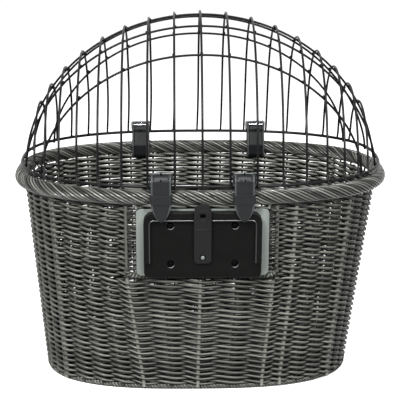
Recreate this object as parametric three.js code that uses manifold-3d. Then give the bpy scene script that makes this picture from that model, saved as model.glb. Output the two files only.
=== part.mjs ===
// Pet basket for a bicycle's handlebar: a tub of woven strands on a steel frame, a domed wire
// grille hinged in two rear straps and held down by two front straps, and a click-on mount plate
// in a window of the front wall. Millimetres, +X to the right, +Y to the rear, +Z up.
import * as THREE from 'three';
import { mergeVertices } from 'three/addons/utils/BufferGeometryUtils.js';
import Module from 'manifold-3d';

const wasm = await Module();
wasm.setup();

// Fits
const FIT_GAP = 0.3;
const WIRE_GAP = 0.5;

// Tub: the plan is a superellipse, squarer at the base than at the rim
const RIM_WIDTH = 480;
const RIM_DEPTH = 330;
const RIM_TOP = 261;
const RIM_ROLL = 19;
const RIM_POWER = 2.5;
const WALL_SIDE_INSET = 13.8;
const WALL_FRONT_INSET = 8.9;
const WALL_THICKNESS = 8;
const BASE_WIDTH = 395;
const BASE_DEPTH = 276;
const BASE_POWER = 2.8;
const FOOT_HEIGHT = 6;
const FLOOR_THICKNESS = 5;
const CORNER_POST_TURN = 40;
const CORNER_POST_STAND = 3;
const CORNER_POST_SPREAD = 6;

// Stakes, over which the weave stands out in ribs: at the four corners, below the window at
// known distances from the middle, and even steps between these
const STAKE_RIB = 2.6;
const STAKES_PER_SIDE = 11;
const STAKES_AT_REAR = 12;
const STAKES_BESIDE_WINDOW = 4;
const STAKES_BELOW_WINDOW = 4;
const STAKE_SPACING_AT_WINDOW = 45;
const STAKE_SPACING_AT_BASE = 36.5;

// Grille: base wire, hoops across the basket and long wires from side to side
const GRILLE_SIDE_INSET = 10;
const GRILLE_FRONT_INSET = 10;
const GRILLE_RISE = 188.5;
const GRILLE_SINK = 20;
const GRILLE_POWER = 2.5;
const GRILLE_ABOVE_RIM = 3.4;
const GRILLE_TILT = 1.8;
const BASE_WIRE = 4;
const GRILLE_WIRE = 2.8;
const HOOPS_PER_SIDE = 8;
const END_HOOP_INSET = 23;
const END_HOOP_FAN = 69;
const LONG_WIRES_PER_SIDE = 2;
const LONG_WIRE_SPACING = 45.5;
const FOOT_FLARE_HEIGHT = 12;
const WIRE_END_DROP = 2;

// Window in the front wall, framed by a wrapped rod, with rungs that carry the steel plate
const WINDOW_HALF_WIDTH = 90;
const WINDOW_CORNER = 10;
const FRAME_ROD = 5.6;
const RUNG = 3.2;
const RUNG_PITCH = 6.6;
const RUNG_OVERLAP = 4;

// Mount: steel plate, click plate with raised rails, and the release lever in front of it
const MOUNT_INSET = 2;
const PLATE_WIDTH = 160;
const PLATE_HEIGHT = 85;
const PLATE_BELOW_RIM = 4.2;
const PLATE_THICKNESS = 1.5;
const PLATE_CORNER = 6;
const PLATE_HEM = 5;
const PLATE_HEM_STEP = 1.2;
const CLICK_WIDTH = 142;
const CLICK_BELOW_PLATE_TOP = 2;
const CLICK_FLOOR = 5.5;
const CLICK_CORNER = 12;
const RAIL_STAND = 5;
const RAIL_WIDTH = 7;
const RAIL_TOP_WIDTH = 9;
const RAIL_LOWER_END = 20;
const SCREW_SPACING_X = 77.5;
const SCREW_SPACING_Z = 49;
const SCREW_LOWER_LEVEL = 16.8;
const SCREW_DIAMETER = 5;
const SCREW_HEAD_DIAMETER = 9;
const SCREW_HEAD_HEIGHT = 2.5;
const COUNTERBORE_DIAMETER = 11;
const COUNTERBORE_DEPTH = 3.2;
const NUT_FLATS = 8;
const NUT_HEIGHT = 4;
const SCREW_TAIL = 1.2;

// Release lever, springy, fixed by one screw near its lower end
const LEVER_WIDTH = 20.8;
const LEVER_THICKNESS = 3;
const LEVER_BOTTOM = 19;
const LEVER_TOP = 96.2;
const LEVER_PIVOT_LEVEL = 26.4;
const LEVER_STAND_OFF = 4.5;
const LEVER_SIDE_GAP = 1.1;
const LEVER_FOOT_CORNER = 3;
const CATCH_WIDTH = 6.5;
const CATCH_HEIGHT = 5.5;
const CATCH_BELOW_TOP = 15.1;
const CATCH_RING = 15;
const CATCH_RING_WIDTH = 1.4;
const CATCH_RING_STAND = 0.8;
const RIDGE_BELOW_TOP = 33.8;
const RIDGE_HEIGHT = 1.6;
const RIDGE_STAND = 1;
const LEVER_SCREW = 2.8;
const LEVER_SCREW_HEAD = 5.6;
const LEVER_SCREW_HEAD_HEIGHT = 1.1;
const LEVER_SCREW_RECESS = 8.4;
const LEVER_SCREW_RECESS_DEPTH = 1.6;
const LEVER_SCREW_BITE = 4.5;

// Straps: one belt each, with a wire buckle frame, a prong and a keeper
const STRAP_WIDTH = 24;
const STRAP_THICKNESS = 2;
const STRAP_BEND = 3.4;
const CREST_BEND = 6;
const CHAPE_END = 6;
const FRONT_CREST_ABOVE_RIM = 17;
const REAR_CREST_ABOVE_RIM = 22.5;
const CREST_ABOVE_HEEL_BAR = 9;
const BUCKLE_BAR = 1.8;
const BUCKLE_SIDE_GAP = 0.3;
const BUCKLE_HEIGHT = 13.5;
const BUCKLE_LEAN = 17;
const BUCKLE_CORNER = 3;
const PRONG = 1.5;
const PRONG_OVERHANG = 1.8;
const PRONG_WRAP = 250;
const KEEPER_BELOW_RIM = 8.6;
const KEEPER_HEIGHT = 11.4;
const KEEPER_THICKNESS = 1.2;
const TIP_BELOW_RIM = 36.3;
const TIP_POINT = 9;
const TIP_BLUNT = 1.5;
const SPARE_HOLE = 3;
const SPARE_HOLES = 2;
const SPARE_HOLE_START = 6;
const SPARE_HOLE_PITCH = 12.7;

// Facets
const PLAN_STEPS = 72;
const WALK_STEPS = 240;
const RIM_STEPS = 48;
const RIM_SIDES = 10;
const FOOT_SIDES = 6;
const WIRE_SIDES = 6;
const HOOP_STEPS = 12;
const HOOP_STEP_SPACING = 6;
const LONG_WIRE_STEPS = 24;
const LONG_STEP_SPACING = 5;
const BASE_STEP_SPACING = 2.2;
const ROD_SIDES = 8;
const RUNG_SIDES = 5;
const ROUND_STEPS = 10;
const CORNER_STEPS = 3;
const BEND_STEPS = 3;
const MERGE_DISTANCE = 1e-4;

// Looks
const LOOKS = {
  strand: { color: 0x4b4a47, roughness: 0.62, metalness: 0 },
  paintedWire: { color: 0x35353a, roughness: 0.35, metalness: 0.4 },
  plateSteel: { color: 0x7d8780, roughness: 0.5, metalness: 0.3 },
  plastic: { color: 0x232323, roughness: 0.45, metalness: 0 },
  leather: { color: 0x3b4047, roughness: 0.55, metalness: 0 },
  brightSteel: { color: 0xb9bcc0, roughness: 0.25, metalness: 1 },
};

const radians = THREE.MathUtils.degToRad;

function piece(group, name, geometry, look) {
  const mesh = new THREE.Mesh(geometry, new THREE.MeshStandardMaterial(LOOKS[look]));
  mesh.name = name;
  group.add(mesh);
  return mesh;
}

// Joining and cutting

function solidOf(geometry) {
  const bare = geometry.clone();
  bare.deleteAttribute('normal');
  bare.deleteAttribute('uv');
  const merged = mergeVertices(bare, MERGE_DISTANCE);
  return new wasm.Manifold(new wasm.Mesh({
    numProp: 3,
    vertProperties: new Float32Array(merged.attributes.position.array),
    triVerts: new Uint32Array(merged.index.array),
  }));
}

function geometryOf(solid) {
  const mesh = solid.getMesh();
  const geometry = new THREE.BufferGeometry();
  geometry.setAttribute('position', new THREE.BufferAttribute(mesh.vertProperties, 3));
  geometry.setIndex(new THREE.BufferAttribute(mesh.triVerts, 1));
  geometry.computeVertexNormals();
  return geometry;
}

function cut(geometry, tools) {
  return geometryOf(tools.reduce((solid, tool) => solid.subtract(solidOf(tool)), solidOf(geometry)));
}

function join(geometries) {
  const solids = geometries.map(solidOf);
  return geometryOf(solids.reduce((whole, solid) => whole.add(solid)));
}

function common(first, second) {
  return geometryOf(solidOf(first).intersect(solidOf(second)));
}

// Forms

// A closed skin over rings of points that follow each other round a loop.
function loopSkin(rings) {
  const count = rings[0].length;
  const positions = rings.flat().flatMap((point) => point.toArray());
  const index = [];
  rings.forEach((ring, i) => {
    const here = i * count;
    const there = ((i + 1) % rings.length) * count;
    ring.forEach((point, j) => {
      const next = (j + 1) % count;
      index.push(here + j, there + j, there + next);
      index.push(here + j, there + next, here + next);
    });
  });
  const geometry = new THREE.BufferGeometry();
  geometry.setAttribute('position', new THREE.Float32BufferAttribute(positions, 3));
  geometry.setIndex(index);
  geometry.computeVertexNormals();
  return geometry;
}

// A path whose steps fall exactly on the given stations, for wires that cross at them.
class StationPath extends THREE.Curve {
  constructor(stations) {
    super();
    this.stations = stations;
  }

  getPoint(t) {
    const place = THREE.MathUtils.clamp(t, 0, 1) * (this.stations.length - 1);
    const step = Math.min(Math.floor(place), this.stations.length - 2);
    return this.stations[step].clone().lerp(this.stations[step + 1], place - step);
  }

  getPointAt(u) {
    return this.getPoint(u);
  }

  getTangentAt(u) {
    return this.getTangent(u);
  }
}

function evenTurns(steps) {
  return Array.from({ length: steps }, (_, i) => (2 * Math.PI * i) / steps);
}

function roundSection(diameter, sides) {
  return new THREE.Shape(evenTurns(sides).map((turn) => (
    new THREE.Vector2(Math.cos(turn), Math.sin(turn)).multiplyScalar(diameter / 2)
  )));
}

function wireThrough(stations, diameter, sides) {
  return new THREE.ExtrudeGeometry(roundSection(diameter, sides), {
    steps: stations.length - 1,
    bevelEnabled: false,
    extrudePath: new StationPath(stations),
  });
}

// A straight rod from one point to another.
function rod(from, to, diameter, sides) {
  return new THREE.ExtrudeGeometry(roundSection(diameter, sides), {
    steps: 1,
    bevelEnabled: false,
    extrudePath: new THREE.LineCurve3(from, to),
  });
}

// An outline drawn in X and Z, thickened towards -Y from one distance to another.
function facingFront(shape, from, to) {
  const geometry = new THREE.ExtrudeGeometry(shape, {
    depth: to - from,
    bevelEnabled: false,
    curveSegments: CORNER_STEPS,
  });
  geometry.rotateX(Math.PI / 2);
  geometry.translate(0, -from, 0);
  return geometry;
}

// An outline drawn in Y and Z, thickened equally to both sides along X.
function acrossWidth(shape, width) {
  const geometry = new THREE.ExtrudeGeometry(shape, {
    depth: width,
    bevelEnabled: false,
    curveSegments: BEND_STEPS,
  });
  geometry.translate(0, 0, -width / 2);
  const axes = new THREE.Matrix4().makeBasis(
    new THREE.Vector3(0, 1, 0),
    new THREE.Vector3(0, 0, 1),
    new THREE.Vector3(1, 0, 0),
  );
  return geometry.applyMatrix4(axes);
}

function arc(x, y, radius, from, to, steps) {
  return Array.from({ length: steps + 1 }, (_, i) => {
    const turn = THREE.MathUtils.lerp(from, to, i / steps);
    return new THREE.Vector2(x + radius * Math.cos(turn), y + radius * Math.sin(turn));
  });
}

// The outline of a box with its own radius on the two upper and the two lower corners.
function boxLine(left, right, bottom, top, upper, lower) {
  const quarter = Math.PI / 2;
  return [
    ...arc(right - lower, bottom + lower, lower, -quarter, 0, CORNER_STEPS),
    ...arc(right - upper, top - upper, upper, 0, quarter, CORNER_STEPS),
    ...arc(left + upper, top - upper, upper, quarter, 2 * quarter, CORNER_STEPS),
    ...arc(left + lower, bottom + lower, lower, 2 * quarter, 3 * quarter, CORNER_STEPS),
  ];
}

function roundedBox(left, right, bottom, top, upper, lower = upper) {
  return new THREE.Shape(boxLine(left, right, bottom, top, upper, lower));
}

function plainBox(left, right, bottom, top) {
  return new THREE.Shape([
    new THREE.Vector2(left, bottom),
    new THREE.Vector2(right, bottom),
    new THREE.Vector2(right, top),
    new THREE.Vector2(left, top),
  ]);
}

// The outline of a band that follows a line at equal distance on both sides.
function bandShape(line, thickness) {
  const normals = line.map((point, i) => {
    const before = line[Math.max(i - 1, 0)];
    const after = line[Math.min(i + 1, line.length - 1)];
    const inDirection = point.clone().sub(before).normalize();
    const outDirection = after.clone().sub(point).normalize();
    const along = inDirection.clone().add(outDirection).normalize();
    const across = new THREE.Vector2(-along.y, along.x);
    const straight = i === 0 ? outDirection : inDirection;
    return across.divideScalar(along.dot(straight));
  });
  const side = (sign) => line.map((point, i) => (
    point.clone().addScaledVector(normals[i], (sign * thickness) / 2)
  ));
  return new THREE.Shape([...side(1), ...side(-1).reverse()]);
}

// Plan of the tub and the grille

function ovalPoint(turn, halfWidth, halfDepth, power) {
  const across = Math.cos(turn);
  const deep = Math.sin(turn);
  return new THREE.Vector2(
    halfWidth * Math.sign(across) * Math.abs(across) ** (2 / power),
    halfDepth * Math.sign(deep) * Math.abs(deep) ** (2 / power),
  );
}

function ovalReach(x, halfWidth, halfDepth, power) {
  const share = Math.min(Math.abs(x) / halfWidth, 1);
  return halfDepth * (1 - share ** power) ** (1 / power);
}

const rimRadius = RIM_ROLL / 2;
const rimCentreHalfWidth = RIM_WIDTH / 2 - rimRadius;
const rimCentreHalfDepth = RIM_DEPTH / 2 - rimRadius;
const rimCentreLevel = RIM_TOP - rimRadius;
const wallTop = RIM_TOP - RIM_ROLL - FIT_GAP;
const wallBottom = FOOT_HEIGHT + FIT_GAP;
const wallTopHalfWidth = RIM_WIDTH / 2 - WALL_SIDE_INSET;
const wallTopHalfDepth = RIM_DEPTH / 2 - WALL_FRONT_INSET;
const mountLevel = RIM_TOP - RIM_ROLL - PLATE_BELOW_RIM - PLATE_HEIGHT;

// How far the wall stands out at a corner post, over which the weave is pulled tight.
function cornerStand(turn) {
  const fold = Math.acos(Math.abs(Math.cos(turn)));
  const away = Math.abs(fold - radians(CORNER_POST_TURN)) / radians(CORNER_POST_SPREAD);
  return CORNER_POST_STAND * Math.max(0, 1 - away);
}

// A plan line from one turn to another, which can be parted into steps of equal length.
class PlanArc extends THREE.Curve {
  constructor(planAt, from, to) {
    super();
    this.turnAt = (t) => THREE.MathUtils.lerp(from, to, t);
    this.planAt = planAt;
    this.arcLengthDivisions = WALK_STEPS;
  }

  getPoint(t) {
    return this.planAt(this.turnAt(t));
  }

  turnsApart(steps) {
    return Array.from({ length: steps }, (_, i) => this.turnAt(this.getUtoTmapping(i / steps)));
  }
}

// The stakes and the middles between them in turn, once round from the left front corner.
function stakeTurns(planAt, halfWidth, power, spacing) {
  const corner = radians(CORNER_POST_TURN);
  const below = Array.from({ length: STAKES_BELOW_WINDOW + 1 }, (_, i) => {
    const x = (i - STAKES_BELOW_WINDOW / 2) * spacing;
    const swing = Math.asin((Math.abs(x) / halfWidth) ** (power / 2));
    return 1.5 * Math.PI + Math.sign(x) * swing;
  });
  const marks = [
    Math.PI + corner,
    ...below,
    2 * Math.PI - corner,
    2 * Math.PI + corner,
    3 * Math.PI - corner,
    3 * Math.PI + corner,
  ];
  const spans = [
    STAKES_BESIDE_WINDOW,
    ...Array(STAKES_BELOW_WINDOW).fill(1),
    STAKES_BESIDE_WINDOW,
    STAKES_PER_SIDE,
    STAKES_AT_REAR,
    STAKES_PER_SIDE,
  ];
  return spans.flatMap((count, i) => (
    new PlanArc(planAt, marks[i], marks[i + 1]).turnsApart(2 * count)
  ));
}

// One level of the tub's wall. Its outer and inner faces come nearest between two stakes.
function wallRing(level, inset) {
  const share = level / wallTop;
  const halfWidth = THREE.MathUtils.lerp(BASE_WIDTH / 2, wallTopHalfWidth, share) - inset;
  const halfDepth = THREE.MathUtils.lerp(BASE_DEPTH / 2, wallTopHalfDepth, share) - inset;
  const power = THREE.MathUtils.lerp(BASE_POWER, RIM_POWER, share);
  const spacing = THREE.MathUtils.lerp(
    STAKE_SPACING_AT_BASE,
    STAKE_SPACING_AT_WINDOW,
    Math.min(level / mountLevel, 1),
  );
  const planAt = (turn) => ovalPoint(turn, halfWidth, halfDepth, power);
  return stakeTurns(planAt, halfWidth, power, spacing).map((turn, i) => {
    const towards = inset > 0 ? STAKE_RIB : -STAKE_RIB;
    const plan = planAt(turn);
    plan.setLength(plan.length() + cornerStand(turn) + (i % 2 === 0 ? 0 : towards));
    return new THREE.Vector3(plan.x, plan.y, level);
  });
}

// A closed ring of round section along a plan line. With a flat foot, a side of the section is level.
function ringAlong(line, levelAt, diameter, sides, flatFoot = false) {
  const steps = line.length;
  const phase = flatFoot ? Math.PI / sides : 0;
  const radius = diameter / 2 / Math.cos(phase);
  return loopSkin(line.map((point, i) => {
    const along = line[(i + 1) % steps].clone().sub(line[(i + steps - 1) % steps]).normalize();
    const outward = new THREE.Vector2(along.y, -along.x);
    return Array.from({ length: sides }, (_, k) => {
      const turn = phase - Math.PI / 2 + (2 * Math.PI * k) / sides;
      const plan = point.clone().addScaledVector(outward, radius * Math.cos(turn));
      return new THREE.Vector3(plan.x, plan.y, levelAt(point) + radius * Math.sin(turn));
    });
  }));
}

function ovalLine(turns, halfWidth, halfDepth, power) {
  return turns.map((turn) => ovalPoint(turn, halfWidth, halfDepth, power));
}

// Mount frame: its plane leans with the front wall, X across, -Y outward, Z up along the wall

const wallLean = Math.atan((wallTopHalfDepth - BASE_DEPTH / 2) / wallTop);
const mountDepth = THREE.MathUtils.lerp(BASE_DEPTH / 2, wallTopHalfDepth, mountLevel / wallTop)
  - MOUNT_INSET;
const rodDrop = FRAME_ROD / 2 + FIT_GAP;
const rungDepth = -(PLATE_HEM_STEP + RUNG / 2 + FIT_GAP);
const rodDepth = rungDepth - (FRAME_ROD - RUNG) / 2;
const windowTopInPlane = (wallTop - mountLevel) / Math.cos(wallLean);
const rodTop = windowTopInPlane - (FRAME_ROD / 2 - rodDepth) * Math.tan(wallLean);

function windowLine(halfWidth, bottom, corner, top) {
  const middle = halfWidth - corner;
  return [
    new THREE.Vector2(-halfWidth, top),
    ...arc(-middle, bottom + corner, corner, Math.PI, 1.5 * Math.PI, BEND_STEPS),
    ...arc(middle, bottom + corner, corner, -Math.PI / 2, 0, BEND_STEPS),
    new THREE.Vector2(halfWidth, top),
  ];
}

// Tub

function windowCutter() {
  const reach = FRAME_ROD / 2 + FIT_GAP;
  const top = windowTopInPlane + RIM_ROLL;
  const line = windowLine(WINDOW_HALF_WIDTH + reach, -rodDrop - reach, WINDOW_CORNER + reach, top);
  const cutter = facingFront(new THREE.Shape(line), -3 * WALL_THICKNESS, 3 * WALL_THICKNESS);
  cutter.rotateX(wallLean);
  cutter.translate(0, -mountDepth, mountLevel);
  return cutter;
}

function wovenWall(strapSets) {
  const skin = loopSkin([
    wallRing(wallBottom, WALL_THICKNESS),
    wallRing(wallTop, WALL_THICKNESS),
    wallRing(wallTop, 0),
    wallRing(mountLevel, 0),
    wallRing(wallBottom, 0),
  ]);
  const notches = strapSets.map((strap) => {
    const run = strap.chapeLine - strap.innerLine;
    const height = 2 * (wallTop - strap.underLevel + STRAP_THICKNESS / 2 + FIT_GAP);
    const notch = new THREE.BoxGeometry(STRAP_WIDTH + 2 * FIT_GAP, run, height);
    const middle = (strap.chapeLine + strap.innerLine) / 2;
    notch.translate(strap.x, strap.front ? -middle : middle, wallTop);
    return notch;
  });
  return cut(skin, [windowCutter(), ...notches]);
}

// The base panel's corners are at the stakes.
function basePanel() {
  const edge = wallRing(wallBottom, WALL_THICKNESS + FIT_GAP).filter((_, i) => i % 2 === 0);
  const outline = edge.map((point) => new THREE.Vector2(point.x, point.y));
  const panel = new THREE.ExtrudeGeometry(new THREE.Shape(outline), {
    depth: FLOOR_THICKNESS,
    bevelEnabled: false,
  });
  panel.translate(0, 0, wallBottom);
  return panel;
}

function rimBorder() {
  const turns = evenTurns(RIM_STEPS);
  const line = ovalLine(turns, rimCentreHalfWidth, rimCentreHalfDepth, RIM_POWER);
  return ringAlong(line, () => rimCentreLevel, RIM_ROLL, RIM_SIDES);
}

function footBorder() {
  const inset = FOOT_HEIGHT / 2;
  const turns = evenTurns(RIM_STEPS);
  const line = ovalLine(turns, BASE_WIDTH / 2 - inset, BASE_DEPTH / 2 - inset, BASE_POWER);
  return ringAlong(line, () => inset, FOOT_HEIGHT, FOOT_SIDES, true);
}

function windowFrame() {
  const line = windowLine(WINDOW_HALF_WIDTH, -rodDrop, WINDOW_CORNER, rodTop);
  const stations = line.map((point) => new THREE.Vector3(point.x, -rodDepth, point.y));
  const solids = [wireThrough(stations, FRAME_ROD, ROD_SIDES)];
  const inner = PLATE_WIDTH / 2 - RUNG_OVERLAP;
  const rungs = Math.floor((PLATE_HEIGHT - RUNG_PITCH) / RUNG_PITCH);
  for (let i = 1; i <= rungs; i += 1) {
    [-1, 1].forEach((side) => {
      const from = new THREE.Vector3(side * WINDOW_HALF_WIDTH, -rungDepth, i * RUNG_PITCH);
      const to = new THREE.Vector3(side * inner, -rungDepth, i * RUNG_PITCH);
      solids.push(rod(from, to, RUNG, RUNG_SIDES));
    });
  }
  return join(solids);
}

// Mount

const clickHeight = PLATE_HEIGHT - CLICK_BELOW_PLATE_TOP;
const clickBack = PLATE_THICKNESS + FIT_GAP;
const clickFace = clickBack + CLICK_FLOOR;
const railFace = clickFace + RAIL_STAND;
const screwSeat = clickFace - COUNTERBORE_DEPTH;
const screwPlaces = [-1, 1].flatMap((side) => [0, 1].map((row) => ({
  x: (side * SCREW_SPACING_X) / 2,
  z: SCREW_LOWER_LEVEL + row * SCREW_SPACING_Z,
})));

// A round bar along Y from one distance in front of the mount plane to another.
function bar(place, diameter, from, to) {
  const geometry = new THREE.CylinderGeometry(diameter / 2, diameter / 2, to - from, ROUND_STEPS);
  geometry.translate(place.x, -(from + to) / 2, place.z);
  return geometry;
}

// The steel plate: its two side edges are bent back where the rungs hold it.
function reinforcementPlate() {
  const half = PLATE_WIDTH / 2;
  const middle = -PLATE_THICKNESS / 2;
  const section = bandShape([
    new THREE.Vector2(-half, middle + PLATE_HEM_STEP),
    new THREE.Vector2(-half + PLATE_HEM, middle),
    new THREE.Vector2(half - PLATE_HEM, middle),
    new THREE.Vector2(half, middle + PLATE_HEM_STEP),
  ], PLATE_THICKNESS);
  const sheet = new THREE.ExtrudeGeometry(section, { depth: PLATE_HEIGHT, bevelEnabled: false });
  const through = 2 * (PLATE_THICKNESS + PLATE_HEM_STEP);
  const outline = roundedBox(-half, half, 0, PLATE_HEIGHT, PLATE_CORNER);
  const holes = screwPlaces.map((place) => (
    bar(place, SCREW_DIAMETER + 2 * FIT_GAP, -through, through)
  ));
  return cut(common(sheet, facingFront(outline, -through, through)), holes);
}

function clickPlate() {
  const half = CLICK_WIDTH / 2;
  const outline = roundedBox(-half, half, 0, clickHeight, CLICK_CORNER, CLICK_CORNER / 2);
  const floor = facingFront(outline, clickBack, clickFace);
  const raised = facingFront(outline, clickBack, railFace);
  const well = facingFront(
    roundedBox(
      -half + RAIL_WIDTH,
      half - RAIL_WIDTH,
      -clickHeight,
      clickHeight - RAIL_TOP_WIDTH,
      CLICK_CORNER / 2,
    ),
    clickFace,
    railFace + RAIL_STAND,
  );
  const lower = facingFront(
    plainBox(-half - RAIL_WIDTH, half + RAIL_WIDTH, -clickHeight, RAIL_LOWER_END),
    clickFace,
    railFace + RAIL_STAND,
  );
  const channelHalf = LEVER_WIDTH / 2 + LEVER_SIDE_GAP;
  const channel = facingFront(
    plainBox(-channelHalf, channelHalf, 0, 2 * clickHeight),
    clickFace,
    railFace + RAIL_STAND,
  );
  const holes = screwPlaces.flatMap((place) => [
    bar(place, SCREW_DIAMETER + 2 * FIT_GAP, 0, railFace),
    bar(place, COUNTERBORE_DIAMETER, screwSeat, railFace),
  ]);
  const pilot = bar({ x: 0, z: LEVER_PIVOT_LEVEL }, LEVER_SCREW + 2 * FIT_GAP, 0, railFace);
  const frame = cut(raised, [well, lower, channel]);
  return cut(join([floor, frame]), [...holes, pilot]);
}

// A turned screw: head and shank in one profile, the head towards -Y.
function turnedScrew(headDiameter, headHeight, shankDiameter, shankLength) {
  const head = headDiameter / 2;
  const shank = shankDiameter / 2;
  const crown = headHeight / 3;
  const profile = [
    new THREE.Vector2(0, headHeight),
    new THREE.Vector2(head - crown, headHeight),
    new THREE.Vector2(head, headHeight - crown),
    new THREE.Vector2(head, 0),
    new THREE.Vector2(shank, 0),
    new THREE.Vector2(shank, -shankLength),
    new THREE.Vector2(0, -shankLength),
  ].reverse();
  const screw = new THREE.LatheGeometry(profile, ROUND_STEPS);
  screw.rotateX(Math.PI);
  return screw;
}

function hexNut() {
  const sides = 6;
  const shape = roundSection(NUT_FLATS / Math.cos(Math.PI / sides), sides);
  const bore = arc(0, 0, SCREW_DIAMETER / 2 + FIT_GAP, 0, 2 * Math.PI, ROUND_STEPS);
  shape.holes.push(new THREE.Path(bore.slice(1)));
  return facingFront(shape, -FIT_GAP - NUT_HEIGHT, -FIT_GAP);
}

// Release lever: a strip that stands off the click plate from its pivot upward. Its own frame
// starts at the pivot, at the back of the strip.

const leverSlope = radians(LEVER_STAND_OFF);
const leverPivotDepth = clickFace + FIT_GAP
  + (LEVER_PIVOT_LEVEL - LEVER_BOTTOM) * Math.tan(leverSlope);
const leverSeat = LEVER_THICKNESS - LEVER_SCREW_RECESS_DEPTH;

function releaseLever() {
  const half = LEVER_WIDTH / 2;
  const bottom = LEVER_BOTTOM - LEVER_PIVOT_LEVEL;
  const top = LEVER_TOP - LEVER_PIVOT_LEVEL;
  const outline = new THREE.Shape([
    new THREE.Vector2(-half, bottom + LEVER_FOOT_CORNER),
    new THREE.Vector2(-half + LEVER_FOOT_CORNER, bottom),
    new THREE.Vector2(half - LEVER_FOOT_CORNER, bottom),
    new THREE.Vector2(half, bottom + LEVER_FOOT_CORNER),
    ...arc(0, top - half, half, 0, Math.PI, ROUND_STEPS),
  ]);
  const catchLevel = top - CATCH_BELOW_TOP;
  const ringRadius = CATCH_RING / 2;
  const ring = new THREE.Shape(arc(0, catchLevel, ringRadius, 0, 2 * Math.PI, ROUND_STEPS).slice(1));
  const inside = arc(0, catchLevel, ringRadius - CATCH_RING_WIDTH, 0, 2 * Math.PI, ROUND_STEPS);
  ring.holes.push(new THREE.Path(inside.slice(1)));
  const ridgeLevel = top - RIDGE_BELOW_TOP;
  const ridgeHalf = half - LEVER_SIDE_GAP;
  const ridge = plainBox(-ridgeHalf, ridgeHalf, ridgeLevel, ridgeLevel + RIDGE_HEIGHT);
  const raised = LEVER_THICKNESS / 2;
  const whole = join([
    facingFront(outline, 0, LEVER_THICKNESS),
    facingFront(ring, raised, LEVER_THICKNESS + CATCH_RING_STAND),
    facingFront(ridge, raised, LEVER_THICKNESS + RIDGE_STAND),
  ]);
  const catchHalf = CATCH_WIDTH / 2;
  const catchLow = catchLevel - CATCH_HEIGHT / 2;
  const catchHole = plainBox(-catchHalf, catchHalf, catchLow, catchLow + CATCH_HEIGHT);
  const pivot = { x: 0, z: 0 };
  return cut(whole, [
    facingFront(catchHole, -LEVER_THICKNESS, 2 * LEVER_THICKNESS),
    bar(pivot, LEVER_SCREW + 2 * WIRE_GAP, -LEVER_THICKNESS, 2 * LEVER_THICKNESS),
    bar(pivot, LEVER_SCREW_RECESS, leverSeat, 2 * LEVER_THICKNESS),
  ]);
}

// Grille: every wire lies in an upright plane, on the dome or on a surface beside it

const grilleHalfWidth = RIM_WIDTH / 2 - GRILLE_SIDE_INSET;
const grilleHalfDepth = RIM_DEPTH / 2 - GRILLE_FRONT_INSET;
const grilleFrontLevel = RIM_TOP + GRILLE_ABOVE_RIM;
const footOffset = (BASE_WIRE + GRILLE_WIRE) / 2 + WIRE_GAP;
const longWireOffset = -footOffset;
const hoopOffset = longWireOffset + GRILLE_WIRE + WIRE_GAP;

function grilleLevel(y) {
  return grilleFrontLevel + (y + grilleHalfDepth) * Math.tan(radians(GRILLE_TILT));
}

function domeReach(x, offset) {
  return ovalReach(x, grilleHalfWidth + offset, grilleHalfDepth + offset, GRILLE_POWER);
}

// Seen from the front the dome is the upper part of an ellipse, whose middle lies below the
// base wire, so the ends of the long wires spread a little.
const domeHeight = GRILLE_RISE + GRILLE_SINK;
const domeHalfWidth = grilleHalfWidth / Math.sqrt(1 - (GRILLE_SINK / domeHeight) ** 2);

function domeRise(x, offset) {
  const above = ovalReach(x, domeHalfWidth + offset, domeHeight + offset, 2) - GRILLE_SINK;
  return Math.max(above, 0);
}

function hoopPlace(number) {
  const fan = radians(END_HOOP_FAN);
  const share = Math.sin((fan * number) / HOOPS_PER_SIDE) / Math.sin(fan);
  return (grilleHalfWidth - END_HOOP_INSET) * share;
}

function numbers(perSide) {
  return Array.from({ length: 2 * perSide + 1 }, (_, i) => i - perSide);
}

const hoopPlaces = numbers(HOOPS_PER_SIDE).map(hoopPlace);
const longWirePlaces = numbers(LONG_WIRES_PER_SIDE).map((number) => number * LONG_WIRE_SPACING);

// The needed turns, and even turns between them where there is room.
function fillTurns(needed, end, steps, spacing) {
  const even = Array.from({ length: steps + 1 }, (_, i) => (end * i) / steps);
  const room = radians(spacing);
  const free = even.filter((turn) => needed.every((other) => Math.abs(other - turn) > room));
  return [...needed, ...free].sort((a, b) => a - b);
}

function grilleHoop(x) {
  const rise = domeRise(x, hoopOffset);
  const reach = domeReach(x, hoopOffset);
  const crossed = longWirePlaces.filter((place) => Math.abs(place) < reach - FOOT_FLARE_HEIGHT);
  const flare = Math.asin(FOOT_FLARE_HEIGHT / rise);
  const feet = [0, flare, Math.PI - flare, Math.PI];
  const crossings = crossed.map((place) => Math.acos(-place / reach));
  const turns = fillTurns([...feet, ...crossings], Math.PI, HOOP_STEPS, HOOP_STEP_SPACING);
  const stations = turns.map((turn) => {
    const height = rise * Math.sin(turn);
    const blend = THREE.MathUtils.smoothstep(height, 0, FOOT_FLARE_HEIGHT);
    const offset = THREE.MathUtils.lerp(footOffset, hoopOffset, blend);
    const y = -domeReach(x, offset) * Math.cos(turn);
    return new THREE.Vector3(x, y, grilleLevel(y) + height);
  });
  return wireThrough(withFeet(stations), GRILLE_WIRE, WIRE_SIDES);
}

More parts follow.
